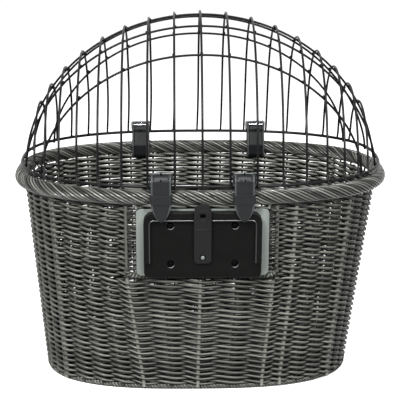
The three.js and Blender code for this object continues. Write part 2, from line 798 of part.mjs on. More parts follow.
function longWire(y) {
  const end = ovalReach(
    y,
    grilleHalfDepth + longWireOffset,
    grilleHalfWidth + longWireOffset,
    GRILLE_POWER,
  );
  const crossed = hoopPlaces.filter((place) => Math.abs(place) < end - GRILLE_WIRE);
  const crossings = crossed.map((place) => Math.acos(-place / end));
  const turns = fillTurns([0, ...crossings, Math.PI], Math.PI, LONG_WIRE_STEPS, LONG_STEP_SPACING);
  const stations = turns.map((turn) => {
    const x = -end * Math.cos(turn);
    const reach = Math.max(domeReach(x, longWireOffset), Math.abs(y), FIT_GAP);
    const height = (domeRise(x, longWireOffset) * Math.sqrt(reach ** 2 - y ** 2)) / reach;
    return new THREE.Vector3(x, y, grilleLevel(y) + height);
  });
  return wireThrough(withFeet(stations), GRILLE_WIRE, WIRE_SIDES);
}

// A wire's two ends run a little below the base wire, to which they are welded.
function withFeet(stations) {
  const drop = new THREE.Vector3(0, 0, -WIRE_END_DROP);
  return [stations[0].clone().add(drop), ...stations, stations.at(-1).clone().add(drop)];
}

function grilleBaseWire() {
  const atHoops = hoopPlaces.flatMap((place) => {
    const turn = Math.acos(Math.sign(place) * (Math.abs(place) / grilleHalfWidth) ** (GRILLE_POWER / 2));
    return [turn, 2 * Math.PI - turn];
  });
  const atLongWires = longWirePlaces.flatMap((place) => {
    const turn = Math.asin((Math.abs(place) / grilleHalfDepth) ** (GRILLE_POWER / 2));
    return place < 0 ? [2 * Math.PI - turn, Math.PI + turn] : [turn, Math.PI - turn];
  });
  const needed = atLongWires.reduce((kept, turn) => {
    const near = kept.some((other) => Math.abs(other - turn) < radians(BASE_STEP_SPACING));
    return near ? kept : [...kept, turn];
  }, atHoops);
  const turns = fillTurns([...needed, 2 * Math.PI], 2 * Math.PI, PLAN_STEPS, BASE_STEP_SPACING);
  const round = turns.filter((turn) => turn > radians(BASE_STEP_SPACING));
  const line = ovalLine(round, grilleHalfWidth, grilleHalfDepth, GRILLE_POWER);
  return ringAlong(line, (point) => grilleLevel(point.y), BASE_WIRE, WIRE_SIDES);
}

// Straps: each set is worked out and built with +Y outward, and turned round for the front

const chapeBend = BUCKLE_BAR / 2 + FIT_GAP + STRAP_THICKNESS / 2;
const beltBend = chapeBend + STRAP_THICKNESS + FIT_GAP;
const buckleLean = radians(BUCKLE_LEAN);
const tipLevel = RIM_TOP - TIP_BELOW_RIM;

function strapSet(name, front, x, crest) {
  const near = Math.abs(x) - STRAP_WIDTH / 2;
  const far = Math.abs(x) + STRAP_WIDTH / 2;
  const rimReach = (place) => (
    ovalReach(place, rimCentreHalfWidth, rimCentreHalfDepth, RIM_POWER)
  );
  const wireLineAt = (place) => domeReach(place, 0);
  const wireDepth = wireLineAt(x);
  const swing = Math.max(wireLineAt(near) - wireDepth, wireDepth - wireLineAt(far));
  const keeperRoom = FIT_GAP + KEEPER_THICKNESS + FIT_GAP;
  const chapeLine = rimReach(near) + rimRadius + keeperRoom + STRAP_THICKNESS / 2;
  return {
    name,
    front,
    x,
    chapeLine,
    innerLine: rimReach(far) - rimRadius - FIT_GAP - STRAP_THICKNESS / 2,
    heelLine: chapeLine - chapeBend,
    heelLevel: crest - CREST_ABOVE_HEEL_BAR,
    wireDepth,
    wireLine: wireDepth - swing - BASE_WIRE / 2 - FIT_GAP - STRAP_THICKNESS / 2,
    wireLevel: grilleLevel(front ? -wireDepth : wireDepth),
    crestLevel: crest - STRAP_THICKNESS / 2,
    underLevel: RIM_TOP - RIM_ROLL - FIT_GAP - STRAP_THICKNESS / 2,
  };
}

// The belt's line from its folded chape round the rim, over the wire and down to its tip.
function beltLine(strap) {
  const { heelLine, heelLevel, chapeLine, innerLine, wireLine, underLevel } = strap;
  const quarter = Math.PI / 2;
  const crest = new THREE.Vector2(wireLine + CREST_BEND, strap.crestLevel - CREST_BEND);
  const heel = new THREE.Vector2(heelLine, heelLevel);
  const run = heel.clone().sub(crest);
  const slope = Math.atan2(run.y, run.x) - Math.asin((CREST_BEND - beltBend) / run.length());
  const lowBend = underLevel + STRAP_BEND;
  return [
    new THREE.Vector2(heelLine - chapeBend, heelLevel - CHAPE_END),
    ...arc(heelLine, heelLevel, chapeBend, 2 * quarter, 0, 2 * BEND_STEPS),
    ...arc(chapeLine - STRAP_BEND, lowBend, STRAP_BEND, 0, -quarter, BEND_STEPS),
    ...arc(innerLine + STRAP_BEND, lowBend, STRAP_BEND, -quarter, -2 * quarter, BEND_STEPS),
    new THREE.Vector2(innerLine, rimCentreLevel + rimRadius / 2),
    new THREE.Vector2(wireLine, Math.min(strap.wireLevel, crest.y - FIT_GAP)),
    ...arc(crest.x, crest.y, CREST_BEND, 2 * quarter, quarter + slope, BEND_STEPS),
    ...arc(heelLine, heelLevel, beltBend, quarter + slope, 0, BEND_STEPS),
    new THREE.Vector2(heelLine + beltBend, tipLevel),
  ];
}

const prongOffset = BUCKLE_BAR / 2 + FIT_GAP + PRONG / 2;

// The prong's line, from its loop on the heel bar up the face of the frame, past the top bar.
function prongLine(strap) {
  const loop = arc(
    0,
    0,
    prongOffset,
    buckleLean - radians(PRONG_WRAP),
    buckleLean,
    2 * BEND_STEPS,
  );
  const along = new THREE.Vector2(-Math.sin(buckleLean), Math.cos(buckleLean));
  const tip = loop.at(-1).clone().addScaledVector(along, BUCKLE_HEIGHT + PRONG_OVERHANG);
  return [...loop, tip].map((point) => (
    new THREE.Vector3(0, strap.heelLine + point.x, strap.heelLevel + point.y)
  ));
}

function strapBelt(strap) {
  const band = acrossWidth(bandShape(beltLine(strap), STRAP_THICKNESS), STRAP_WIDTH);
  const slotRadius = chapeBend + (STRAP_THICKNESS + FIT_GAP) / 2;
  const slotWidth = PRONG + 2 * FIT_GAP;
  const slot = new THREE.CylinderGeometry(slotRadius, slotRadius, slotWidth, ROUND_STEPS);
  slot.rotateZ(Math.PI / 2);
  slot.translate(0, strap.heelLine, strap.heelLevel);
  const [shaftStart, shaftEnd] = prongLine(strap).slice(-2);
  const prongHole = rod(shaftStart, shaftEnd, PRONG + 2 * FIT_GAP, ROD_SIDES);
  const outerLine = strap.heelLine + beltBend;
  const half = STRAP_WIDTH / 2;
  const corners = [-1, 1].map((side) => facingFront(new THREE.Shape([
    new THREE.Vector2(side * half, tipLevel + TIP_POINT),
    new THREE.Vector2(side * STRAP_WIDTH, tipLevel + TIP_POINT),
    new THREE.Vector2(side * STRAP_WIDTH, tipLevel - TIP_POINT),
    new THREE.Vector2(side * TIP_BLUNT, tipLevel - TIP_POINT),
    new THREE.Vector2(side * TIP_BLUNT, tipLevel),
  ]), -outerLine - STRAP_THICKNESS, -outerLine + STRAP_THICKNESS));
  const spares = Array.from({ length: SPARE_HOLES }, (_, i) => {
    const level = strap.crestLevel - SPARE_HOLE_START - i * SPARE_HOLE_PITCH;
    const place = { x: 0, z: level };
    return bar(place, SPARE_HOLE, -strap.wireDepth, -strap.innerLine + STRAP_WIDTH);
  });
  return cut(band, [slot, prongHole, ...corners, ...spares]);
}

function buckleFrame(strap) {
  const beside = BUCKLE_BAR / 2 + BUCKLE_SIDE_GAP;
  const half = STRAP_WIDTH / 2 + beside;
  const line = boxLine(-half, half, 0, BUCKLE_HEIGHT, BUCKLE_CORNER, beside);
  const frame = ringAlong(line, () => 0, BUCKLE_BAR, WIRE_SIDES);
  frame.rotateX(Math.PI / 2 + buckleLean);
  frame.translate(0, strap.heelLine, strap.heelLevel);
  return frame;
}

function strapKeeper(strap) {
  const half = STRAP_WIDTH / 2 + FIT_GAP;
  const back = strap.chapeLine - STRAP_THICKNESS / 2 - FIT_GAP;
  const face = strap.heelLine + beltBend + STRAP_THICKNESS / 2 + FIT_GAP;
  const wall = KEEPER_THICKNESS;
  const shape = plainBox(-half - wall, half + wall, back - wall, face + wall);
  shape.holes.push(plainBox(-half, half, back, face));
  const keeper = new THREE.ExtrudeGeometry(shape, { depth: KEEPER_HEIGHT, bevelEnabled: false });
  keeper.translate(0, 0, RIM_TOP - KEEPER_BELOW_RIM - KEEPER_HEIGHT / 2);
  return keeper;
}

// Assembly

const frontStrapPlace = (hoopPlace(1) + hoopPlace(2)) / 2;
const rearStrapPlace = (hoopPlace(2) + hoopPlace(3)) / 2;
const frontCrest = RIM_TOP + FRONT_CREST_ABOVE_RIM;
const rearCrest = RIM_TOP + REAR_CREST_ABOVE_RIM;
const strapSets = [
  strapSet('front_left', true, -frontStrapPlace, frontCrest),
  strapSet('front_right', true, frontStrapPlace, frontCrest),
  strapSet('rear_left', false, -rearStrapPlace, rearCrest),
  strapSet('rear_right', false, rearStrapPlace, rearCrest),
];

const basket = new THREE.Group();
piece(basket, 'woven_wall', wovenWall(strapSets), 'strand');
piece(basket, 'base_panel', basePanel(), 'strand');
piece(basket, 'rim_border', rimBorder(), 'strand');
piece(basket, 'foot_border', footBorder(), 'strand');

const mount = new THREE.Group();
mount.position.set(0, -mountDepth, mountLevel);
mount.rotation.x = wallLean;
basket.add(mount);
piece(mount, 'window_frame', windowFrame(), 'strand');
piece(mount, 'reinforcement_plate', reinforcementPlate(), 'plateSteel');
piece(mount, 'click_plate', clickPlate(), 'plastic');

screwPlaces.forEach((place) => {
  const side = place.x < 0 ? 'left' : 'right';
  const row = place.z > SCREW_LOWER_LEVEL ? 'upper' : 'lower';
  const shankLength = screwSeat + FIT_GAP + FIT_GAP + NUT_HEIGHT + SCREW_TAIL;
  const screw = turnedScrew(SCREW_HEAD_DIAMETER, SCREW_HEAD_HEIGHT, SCREW_DIAMETER, shankLength);
  const screwMesh = piece(mount, `plate_screw_${row}_${side}`, screw, 'brightSteel');
  screwMesh.position.set(place.x, -screwSeat - FIT_GAP, place.z);
  const nutMesh = piece(mount, `plate_nut_${row}_${side}`, hexNut(), 'brightSteel');
  nutMesh.position.set(place.x, 0, place.z);
});

const lever = piece(mount, 'release_lever', releaseLever(), 'plastic');
lever.position.set(0, -leverPivotDepth, LEVER_PIVOT_LEVEL);
lever.rotation.x = leverSlope;

const leverScrewDepth = leverPivotDepth + leverSeat + 2 * FIT_GAP;
const leverScrew = piece(mount, 'lever_screw', turnedScrew(
  LEVER_SCREW_HEAD,
  LEVER_SCREW_HEAD_HEIGHT,
  LEVER_SCREW,
  leverScrewDepth - clickFace + LEVER_SCREW_BITE,
), 'brightSteel');
leverScrew.position.set(0, -leverScrewDepth, LEVER_PIVOT_LEVEL);

piece(basket, 'grille_base_wire', grilleBaseWire(), 'paintedWire');
hoopPlaces.forEach((place, i) => {
  piece(basket, `grille_hoop_${String(i + 1).padStart(2, '0')}`, grilleHoop(place), 'paintedWire');
});
longWirePlaces.forEach((place, i) => {
  piece(basket, `grille_long_wire_${i + 1}`, longWire(place), 'paintedWire');
});

strapSets.forEach((strap) => {
  const set = new THREE.Group();
  set.position.x = strap.x;
  set.rotation.z = strap.front ? Math.PI : 0;
  basket.add(set);
  piece(set, `${strap.name}_strap`, strapBelt(strap), 'leather');
  piece(set, `${strap.name}_buckle_frame`, buckleFrame(strap), 'brightSteel');
  const prong = wireThrough(prongLine(strap), PRONG, WIRE_SIDES);
  piece(set, `${strap.name}_buckle_prong`, prong, 'brightSteel');
  piece(set, `${strap.name}_strap_keeper`, strapKeeper(strap), 'leather');
});

// The origin is the middle of the whole object's footprint, on the ground.
const reach = new THREE.Box3().setFromObject(basket, true);
const footprint = reach.getCenter(new THREE.Vector3());
basket.position.set(-footprint.x, -footprint.y, -reach.min.z);

export default basket;
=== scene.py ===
# %% [markdown]
# # A woven pet basket for a handlebar
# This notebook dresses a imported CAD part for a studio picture.

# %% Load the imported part
import math

import bmesh
import bpy
import numpy as np
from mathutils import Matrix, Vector


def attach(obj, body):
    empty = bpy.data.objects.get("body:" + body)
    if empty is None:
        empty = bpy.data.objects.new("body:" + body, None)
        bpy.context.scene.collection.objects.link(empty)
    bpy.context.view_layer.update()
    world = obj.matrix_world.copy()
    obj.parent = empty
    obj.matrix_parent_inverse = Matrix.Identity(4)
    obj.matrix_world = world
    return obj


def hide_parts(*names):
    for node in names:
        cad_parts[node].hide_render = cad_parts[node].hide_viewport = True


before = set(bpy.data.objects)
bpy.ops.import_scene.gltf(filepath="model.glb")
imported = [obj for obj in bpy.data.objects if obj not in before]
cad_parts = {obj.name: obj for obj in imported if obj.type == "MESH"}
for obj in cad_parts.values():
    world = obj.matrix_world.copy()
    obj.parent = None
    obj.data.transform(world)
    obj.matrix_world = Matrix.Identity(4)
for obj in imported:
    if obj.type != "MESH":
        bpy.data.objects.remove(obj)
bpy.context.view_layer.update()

# %% [markdown]
# ## A few small helpers
# Every piece is an object, and shader and geometry trees are only nodes and links. These short
# functions keep the cells below readable: a node is added with its settings and values, and links
# are made one by one or along a chain.

# %% Helpers for objects and node trees
scene = bpy.context.scene


def new_object(name, data):
    made = bpy.data.objects.new(name, data)
    scene.collection.objects.link(made)
    return made


def fresh_tree(owner):
    owner.use_nodes = True
    owner.node_tree.nodes.clear()
    return owner.node_tree


def add_node(tree, kind, settings=None, values=None):
    node = tree.nodes.new(kind)
    for key, value in (settings or {}).items():
        setattr(node, key, value)
    for key, value in (values or {}).items():
        node.inputs[key].default_value = value
    return node


def math_node(tree, operation, second=None):
    return add_node(tree, "ShaderNodeMath", {"operation": operation}, {} if second is None else {1: second})


def join(tree, *links):
    for source, output, target, socket in links:
        tree.links.new(source.outputs[output], target.inputs[socket])


def chain(tree, *nodes):
    """Joins the first output of each node to the first input of the next."""
    join(tree, *((source, 0, target, 0) for source, target in zip(nodes, nodes[1:])))


def new_group(kind, name, inputs, outputs):
    tree = bpy.data.node_groups.new(name, kind)
    for label, socket_type, value in inputs:
        socket = tree.interface.new_socket(name=label, in_out="INPUT", socket_type=socket_type)
        if value is not None:
            socket.default_value = value
    for label, socket_type in outputs:
        tree.interface.new_socket(name=label, in_out="OUTPUT", socket_type=socket_type)
    return tree, add_node(tree, "NodeGroupInput"), add_node(tree, "NodeGroupOutput")


print("helpers ready in", scene.name)

# %% [markdown]
# ## Camera
# The picture was taken from a little above the rim and slightly from the left, with a long lens.
# The place, the turn and the focal length come from the outline of the rim, the wall and the
# hoops, so a solid and its picture line up.

# %% Camera
MM = 0.001
IMAGE_SIDE = 400
FOCAL_PIXELS = 1298.28
CAMERA_PLACE = (-0.03183, -1.65847, 0.61775)
LOOK_DOWN, LOOK_RIGHT = 13.78, 1.09
camera_data = bpy.data.cameras.new("studio_camera")
camera = new_object("studio_camera", camera_data)
camera.location = CAMERA_PLACE
camera.rotation_euler = (math.radians(90 - LOOK_DOWN), 0, math.radians(-LOOK_RIGHT))
camera_data.lens = FOCAL_PIXELS * camera_data.sensor_width / IMAGE_SIDE
scene.camera = camera
print("lens:", round(camera_data.lens, 1), "mm")

# %% [markdown]
# ## Light
# A white studio: a large soft lamp on each side in front, one overhead, and a faint even world.
# The backdrop is white only for camera, mirror and transmitted rays, so it adds little light.

# %% World
AIR_LIGHT, BACKDROP = 0.1, 1.0
scene.view_settings.view_transform = "Standard"
scene.world = bpy.data.worlds.new("studio_world")
sky = fresh_tree(scene.world)
ray = add_node(sky, "ShaderNodeLightPath")
either = math_node(sky, "MAXIMUM")
any_seen = math_node(sky, "MAXIMUM")
level = add_node(sky, "ShaderNodeMapRange", None, {"To Min": AIR_LIGHT, "To Max": BACKDROP})
air = add_node(sky, "ShaderNodeBackground", None, {"Color": (1, 1, 1, 1)})
join(
    sky,
    (ray, "Is Camera Ray", either, 0),
    (ray, "Is Glossy Ray", either, 1),
    (ray, "Is Transmission Ray", any_seen, 1),
    (level, "Result", air, "Strength"),
)
chain(sky, either, any_seen, level)
chain(sky, air, add_node(sky, "ShaderNodeOutputWorld"))
print("world:", scene.world.name)

# %% [markdown]
# The lamps are wide discs, because a wide lamp throws a soft shadow, as a studio lamp behind cloth
# does. The left one is the strongest, so the right side of the basket gets less light.

# %% Lamps
LAMPS = {
    "left_lamp": {"place": (-0.95, -1.95, 1.9), "aim": (0, 0, 0.2), "size": 0.7, "power": 90},
    "right_lamp": {"place": (1.0, -1.95, 1.8), "aim": (0, 0, 0.2), "size": 0.7, "power": 50},
    "top_lamp": {"place": (0.0, -0.9, 2.4), "aim": (0, 0, 0.3), "size": 1.4, "power": 62},
}
for name, lamp in LAMPS.items():
    light = bpy.data.lights.new(name, "AREA")
    light.shape = "DISK"
    light.size = lamp["size"]
    light.energy = lamp["power"]
    holder = new_object(name, light)
    holder.location = lamp["place"]
    holder.rotation_euler = (Vector(lamp["aim"]) - Vector(lamp["place"])).to_track_quat("-Z", "Y").to_euler()
    print(name, lamp["power"], "W")

# %% [markdown]
# ## Floor
# A wide pale sheet. Camera rays, and faintly mirror rays, get extra white, which lifts the sheet to
# the backdrop's white where no shadow falls, and leaves the soft shadow under the basket. For light
# that bounces on, the sheet is darker than it looks, so it doesn't brighten the weave from below.

# %% Floor
FLOOR_HALF = 6
SHEET_TONE, SHEET_BOUNCE = 0.8, 0.35
SHEET_LIFT, MIRROR_LIFT = 0.88, 0.15
floor_corners = [(x * FLOOR_HALF, y * FLOOR_HALF, 0) for x, y in ((-1, -1), (1, -1), (1, 1), (-1, 1))]
floor_mesh = bpy.data.meshes.new("studio_floor")
floor_mesh.from_pydata(floor_corners, [], [(0, 1, 2, 3)])
studio_floor = new_object("studio_floor", floor_mesh)
paper = bpy.data.materials.new("studio_paper")
sheet = fresh_tree(paper)
sheet_ray = add_node(sheet, "ShaderNodeLightPath")
mirrored = math_node(sheet, "MAXIMUM")
faint = math_node(sheet, "MULTIPLY", MIRROR_LIFT)
lift = math_node(sheet, "MULTIPLY_ADD", SHEET_LIFT)
shade = add_node(sheet, "ShaderNodeMapRange", None, {"To Min": SHEET_TONE, "To Max": SHEET_BOUNCE})
sheet_skin = add_node(sheet, "ShaderNodeBsdfDiffuse")
glow = add_node(sheet, "ShaderNodeEmission", None, {"Color": (1, 1, 1, 1)})
both = add_node(sheet, "ShaderNodeAddShader")
join(
    sheet,
    (sheet_ray, "Is Glossy Ray", mirrored, 0),
    (sheet_ray, "Is Transmission Ray", mirrored, 1),
    (sheet_ray, "Is Camera Ray", lift, 0),
    (sheet_ray, "Is Diffuse Ray", shade, "Value"),
    (faint, 0, lift, 2),
    (lift, 0, glow, "Strength"),
    (shade, "Result", sheet_skin, "Color"),
    (glow, 0, both, 1),
)
chain(sheet, mirrored, faint)
chain(sheet, sheet_skin, both, add_node(sheet, "ShaderNodeOutputMaterial"))
floor_mesh.materials.append(paper)
print("floor:", 2 * FLOOR_HALF, "m wide")

# %% [markdown]
# ## Shared surface effects
# Several finishes need the same two things. The first is an uneven tone with a matching change of
# gloss, as on anything that was moulded, painted or handled. It is a node group, so that each
# material sets its own colours and scale.

# %% Group: uneven tone
mottle, mottle_in, mottle_out = new_group(
    "ShaderNodeTree",
    "uneven_tone",
    [
        ("Dark", "NodeSocketColor", (0.05, 0.05, 0.05, 1)),
        ("Light", "NodeSocketColor", (0.1, 0.1, 0.1, 1)),
        ("Size", "NodeSocketFloat", 60.0),
        ("Gloss", "NodeSocketFloat", 0.5),
        ("Gloss change", "NodeSocketFloat", 0.1),
    ],
    [("Color", "NodeSocketColor"), ("Roughness", "NodeSocketFloat")],
)
mottle_place = add_node(mottle, "ShaderNodeTexCoord")
mottle_noise = add_node(mottle, "ShaderNodeTexNoise", None, {"Detail": 4.0, "Roughness": 0.6})
mottle_mix = add_node(mottle, "ShaderNodeMix", {"data_type": "RGBA"})
mottle_swing = math_node(mottle, "SUBTRACT", 0.5)
mottle_gloss = math_node(mottle, "MULTIPLY_ADD")
join(
    mottle,
    (mottle_place, "Object", mottle_noise, "Vector"),
    (mottle_in, "Size", mottle_noise, "Scale"),
    (mottle_noise, "Fac", mottle_mix, "Factor"),
    (mottle_in, "Dark", mottle_mix, 6),
    (mottle_in, "Light", mottle_mix, 7),
    (mottle_noise, "Fac", mottle_swing, 0),
    (mottle_swing, 0, mottle_gloss, 0),
    (mottle_in, "Gloss change", mottle_gloss, 1),
    (mottle_in, "Gloss", mottle_gloss, 2),
    (mottle_mix, 2, mottle_out, "Color"),
    (mottle_gloss, 0, mottle_out, "Roughness"),
)
print("group:", mottle.name)

# %% [markdown]
# The second is a fine grain: the pores of leather and the dull skin of moulded plastic. Cells and
# noise are added up to a height, which each material turns into a bump of its own strength.

# %% Group: fine grain
grain, grain_in, grain_out = new_group(
    "ShaderNodeTree",
    "fine_grain",
    [("Size", "NodeSocketFloat", 900.0), ("Depth", "NodeSocketFloat", 0.3)],
    [("Height", "NodeSocketFloat")],
)
grain_place = add_node(grain, "ShaderNodeTexCoord")
grain_cells = add_node(grain, "ShaderNodeTexVoronoi", {"feature": "SMOOTH_F1"})
grain_noise = add_node(grain, "ShaderNodeTexNoise", None, {"Detail": 3.0})
grain_sum = math_node(grain, "ADD")
grain_depth = math_node(grain, "MULTIPLY")
join(
    grain,
    (grain_place, "Object", grain_cells, "Vector"),
    (grain_place, "Object", grain_noise, "Vector"),
    (grain_in, "Size", grain_cells, "Scale"),
    (grain_in, "Size", grain_noise, "Scale"),
    (grain_cells, "Distance", grain_sum, 0),
    (grain_noise, "Fac", grain_sum, 1),
    (grain_in, "Depth", grain_depth, 1),
)
chain(grain, grain_sum, grain_depth, grain_out)
print("group:", grain.name)

# %% [markdown]
# ## Finishes
# Each material puts the two groups in front of one Principled shader. What is the same all over,
# such as metalness or shine, is set on the shader itself.

# %% Plain finishes: plastic, paint, bright metal, leather
METAL = {"Metallic": 1.0}
BUMP_DISTANCE = 0.001


def shine(amount):
    return {"Specular IOR Level": amount}


def finish(name, dark, light, patches, gloss, fine, bump, fixed):
    """patches is their scale, gloss the roughness and its change, fine the grain's scale and depth."""
    material = bpy.data.materials.new(name)
    tree = fresh_tree(material)
    skin = add_node(tree, "ShaderNodeBsdfPrincipled", None, fixed)
    tones = {
        "Dark": (*dark, 1), "Light": (*light, 1), "Size": patches,
        "Gloss": gloss[0], "Gloss change": gloss[1],
    }
    tone = add_node(tree, "ShaderNodeGroup", {"node_tree": mottle}, tones)
    relief = add_node(tree, "ShaderNodeGroup", {"node_tree": grain}, {"Size": fine[0], "Depth": fine[1]})
    dents = add_node(tree, "ShaderNodeBump", None, {"Strength": bump, "Distance": BUMP_DISTANCE})
    join(
        tree,
        (tone, "Color", skin, "Base Color"),
        (tone, "Roughness", skin, "Roughness"),
        (relief, "Height", dents, "Height"),
        (dents, "Normal", skin, "Normal"),
    )
    chain(tree, skin, add_node(tree, "ShaderNodeOutputMaterial"))
    return material


moulded_plastic = finish(
    "moulded_plastic", (0.003, 0.003, 0.0029), (0.0052, 0.0052, 0.005), 45, (0.36, 0.12),
    (1400, 0.4), 0.08, shine(0.035),
)
painted_sheet = finish(
    "painted_sheet", (0.135, 0.152, 0.14), (0.16, 0.178, 0.165), 30, (0.45, 0.12),
    (500, 0.25), 0.08, shine(0.3),
)
coated_wire = finish(
    "coated_wire", (0.003, 0.003, 0.0034), (0.006, 0.006, 0.0064), 70, (0.26, 0.08),
    (300, 0.3), 0.02, shine(0.1),
)
bright_plate = finish(
    "bright_plate", (0.72, 0.73, 0.75), (0.85, 0.86, 0.88), 120, (0.22, 0.1),
    (500, 0.2), 0.03, METAL,
)
# Almost black metal: painted shade on the bolts deep in their wells and on the front prongs.
dark_bolt = finish(
    "dark_bolt", (0.0015, 0.0015, 0.0015), (0.006, 0.006, 0.0062), 900, (0.16, 0.08),
    (700, 0.3), 0.05, METAL,
)
# A dark dull metal for the front buckles: painted shade, as they are the same steel as the bright rear ones.
shaded_buckle_metal = finish(
    "shaded_buckle_metal", (0.02, 0.021, 0.023), (0.08, 0.081, 0.085), 160, (0.3, 0.12),
    (700, 0.3), 0.05, METAL,
)
soft_leather = finish(
    "soft_leather", (0.0026, 0.003, 0.0033), (0.0084, 0.0095, 0.0103), 38, (0.36, 0.16),
    (850, 0.6), 0.22, shine(0.17),
)
# A duller copy of the leather for the rear belts: painted shade.
rear_shade_leather = finish(
    "rear_shade_leather", (0.003, 0.0033, 0.0036), (0.0075, 0.008, 0.0086), 38, (0.42, 0.16),
    (850, 0.6), 0.22, shine(0.12),
)
sewing_thread = finish(
    "sewing_thread", (0.02, 0.0215, 0.023), (0.036, 0.038, 0.04), 300, (0.6, 0.1),
    (2500, 0.5), 0.1, shine(0.15),
)
print("finishes:", [m.name for m in bpy.data.materials])

# %% [markdown]
# ## The strand
# The basket is woven from extruded plastic strands in a dark warm grey. Each one is a little
# lighter or darker than its neighbour and has fine ribs along its length. The ribs must follow the
# strand round every bend, so they read two attributes that the sweep stores: the distance along
# the strand, and the place round its section. The tight gaps of a real weave are darker than the
# lamps alone make them here, so the group can also paint the underside of a strand darker.

# %% Group: strand ribs
LENGTH_SCALE, ROUND_SCALE, TONE_SEED = 28.0, 3.2, 37.0
strand, strand_in, strand_out = new_group(
    "ShaderNodeTree",
    "strand_ribs",
    [
        ("Dark", "NodeSocketColor", (0.0015, 0.0015, 0.0013, 1)),
        ("Light", "NodeSocketColor", (0.17, 0.17, 0.15, 1)),
        ("Smoothest", "NodeSocketFloat", 0.14),
        ("Roughest", "NodeSocketFloat", 0.3),
        ("Underside", "NodeSocketFloat", 1.0),
    ],
    [("Color", "NodeSocketColor"), ("Roughness", "NodeSocketFloat"), ("Height", "NodeSocketFloat")],
)
along, around, own_tone = (
    add_node(strand, "ShaderNodeAttribute", {"attribute_name": "strand_" + label})
    for label in ("along", "around", "tone")
)
stretch = math_node(strand, "MULTIPLY", LENGTH_SCALE)
ribs_at = add_node(strand, "ShaderNodeVectorMath", {"operation": "SCALE"}, {"Scale": ROUND_SCALE})
split = add_node(strand, "ShaderNodeSeparateXYZ")
rib_place = add_node(strand, "ShaderNodeCombineXYZ")
ribs = add_node(strand, "ShaderNodeTexNoise", {"noise_dimensions": "4D"}, {"Scale": 1.0, "Detail": 3.0})
own = math_node(strand, "MULTIPLY", TONE_SEED)
mixed = add_node(strand, "ShaderNodeMath", {"operation": "MULTIPLY_ADD", "use_clamp": True}, {1: 0.9})
lower = math_node(strand, "SUBTRACT", 0.48)
strand_mix = add_node(strand, "ShaderNodeMix", {"data_type": "RGBA"})
rough = add_node(strand, "ShaderNodeMapRange")
# Painted shade: one side of each strand's section is darkened, as far as the Underside value sets.
below = add_node(
    strand, "ShaderNodeMapRange", {"interpolation_type": "SMOOTHSTEP"},
    {"From Min": -2.6, "From Max": 2.0, "To Min": 1.0},
)
shaded = add_node(strand, "ShaderNodeVectorMath", {"operation": "SCALE"})
join(
    strand,
    (along, "Fac", stretch, 0),
    (around, "Vector", ribs_at, 0),
    (stretch, 0, rib_place, 0),
    (split, 0, rib_place, 1),
    (split, 1, rib_place, 2),
    (rib_place, 0, ribs, "Vector"),
    (own_tone, "Fac", own, 0),
    (own, 0, ribs, "W"),
    (ribs, "Fac", mixed, 0),
    (own_tone, "Fac", lower, 0),
    (lower, 0, mixed, 2),
    (mixed, 0, strand_mix, "Factor"),
    (strand_in, "Dark", strand_mix, 6),
    (strand_in, "Light", strand_mix, 7),
    (split, 1, below, "Value"),
    (strand_in, "Underside", below, "To Max"),
    (strand_mix, 2, shaded, 0),
    (below, "Result", shaded, "Scale"),
    (shaded, 0, strand_out, "Color"),
    (ribs, "Fac", rough, "Value"),
    (strand_in, "Smoothest", rough, "To Min"),
    (strand_in, "Roughest", rough, "To Max"),
    (rough, "Result", strand_out, "Roughness"),
    (ribs, "Fac", strand_out, "Height"),
)
chain(strand, ribs_at, split)
print("group:", strand.name)

# %% [markdown]
# The strands of the wall, of the rim and of the posts differ a little in tone and gloss. A core
# strand fills a rope and is almost black, as painted shade in the gaps between the strands round it.

# %% Strand finishes
def strand_finish(name, dark, light, gloss, shininess, underside=1.0):
    material = bpy.data.materials.new(name)
    tree = fresh_tree(material)
    skin = add_node(tree, "ShaderNodeBsdfPrincipled", None, shine(shininess))
    look = add_node(
        tree, "ShaderNodeGroup", {"node_tree": strand},
        {"Dark": (*dark, 1), "Light": (*light, 1), "Smoothest": gloss - 0.06, "Roughest": gloss + 0.1,
         "Underside": underside},
    )
    dents = add_node(tree, "ShaderNodeBump", None, {"Strength": 0.35, "Distance": 0.0006})
    join(
        tree,
        (look, "Color", skin, "Base Color"),
        (look, "Roughness", skin, "Roughness"),
        (look, "Height", dents, "Height"),
        (dents, "Normal", skin, "Normal"),
    )
    chain(tree, skin, add_node(tree, "ShaderNodeOutputMaterial"))
    return material


# The weave's strands get strong painted shade on their undersides.
weaving_strand = strand_finish(
    "weaving_strand", (0.0015, 0.0015, 0.0013), (0.172, 0.176, 0.154), 0.2, 0.15, 0.02
)
rim_strand = strand_finish("rim_strand", (0.001, 0.001, 0.0009), (0.17, 0.173, 0.154), 0.15, 0.45)
upright_strand = strand_finish("upright_strand", (0.0015, 0.0015, 0.0013), (0.15, 0.154, 0.135), 0.21, 0.14)
core_strand = strand_finish("core_strand", (0.004, 0.004, 0.0037), (0.01, 0.01, 0.0093), 0.6, 0.1)
print("strands:", [m.name for m in bpy.data.materials if m.name.endswith("_strand")])

# %% [markdown]
# ## Sweep tree
# Every strand, wire and stitch path is first a thin line of points. One geometry node tree turns
# such lines into round rods: mesh to curve, then a small circle swept along it. The circle is
# scaled by the line's own swell, so a strand can taper. The tree stores the two strand attributes
# and sets the material itself.

# %% Sweep tree
def geometry_tree(name, sizes):
    """A tree that takes lines or points, the given sizes and a material."""
    inputs = [("Geometry", "NodeSocketGeometry", None), *sizes, ("Material", "NodeSocketMaterial", None)]
    return new_group("GeometryNodeTree", name, inputs, [("Geometry", "NodeSocketGeometry")])


def end_tree(tree, last, start, end):
    """Makes the result real and gives it its material."""
    real = add_node(tree, "GeometryNodeRealizeInstances")
    paint = add_node(tree, "GeometryNodeSetMaterial")
    chain(tree, last, real, paint, end)
    join(tree, (start, "Material", paint, "Material"))


def keep_value(tree, label, data_type):
    settings = {"data_type": data_type, "domain": "POINT"}
    return add_node(tree, "GeometryNodeStoreNamedAttribute", settings, {"Name": label})


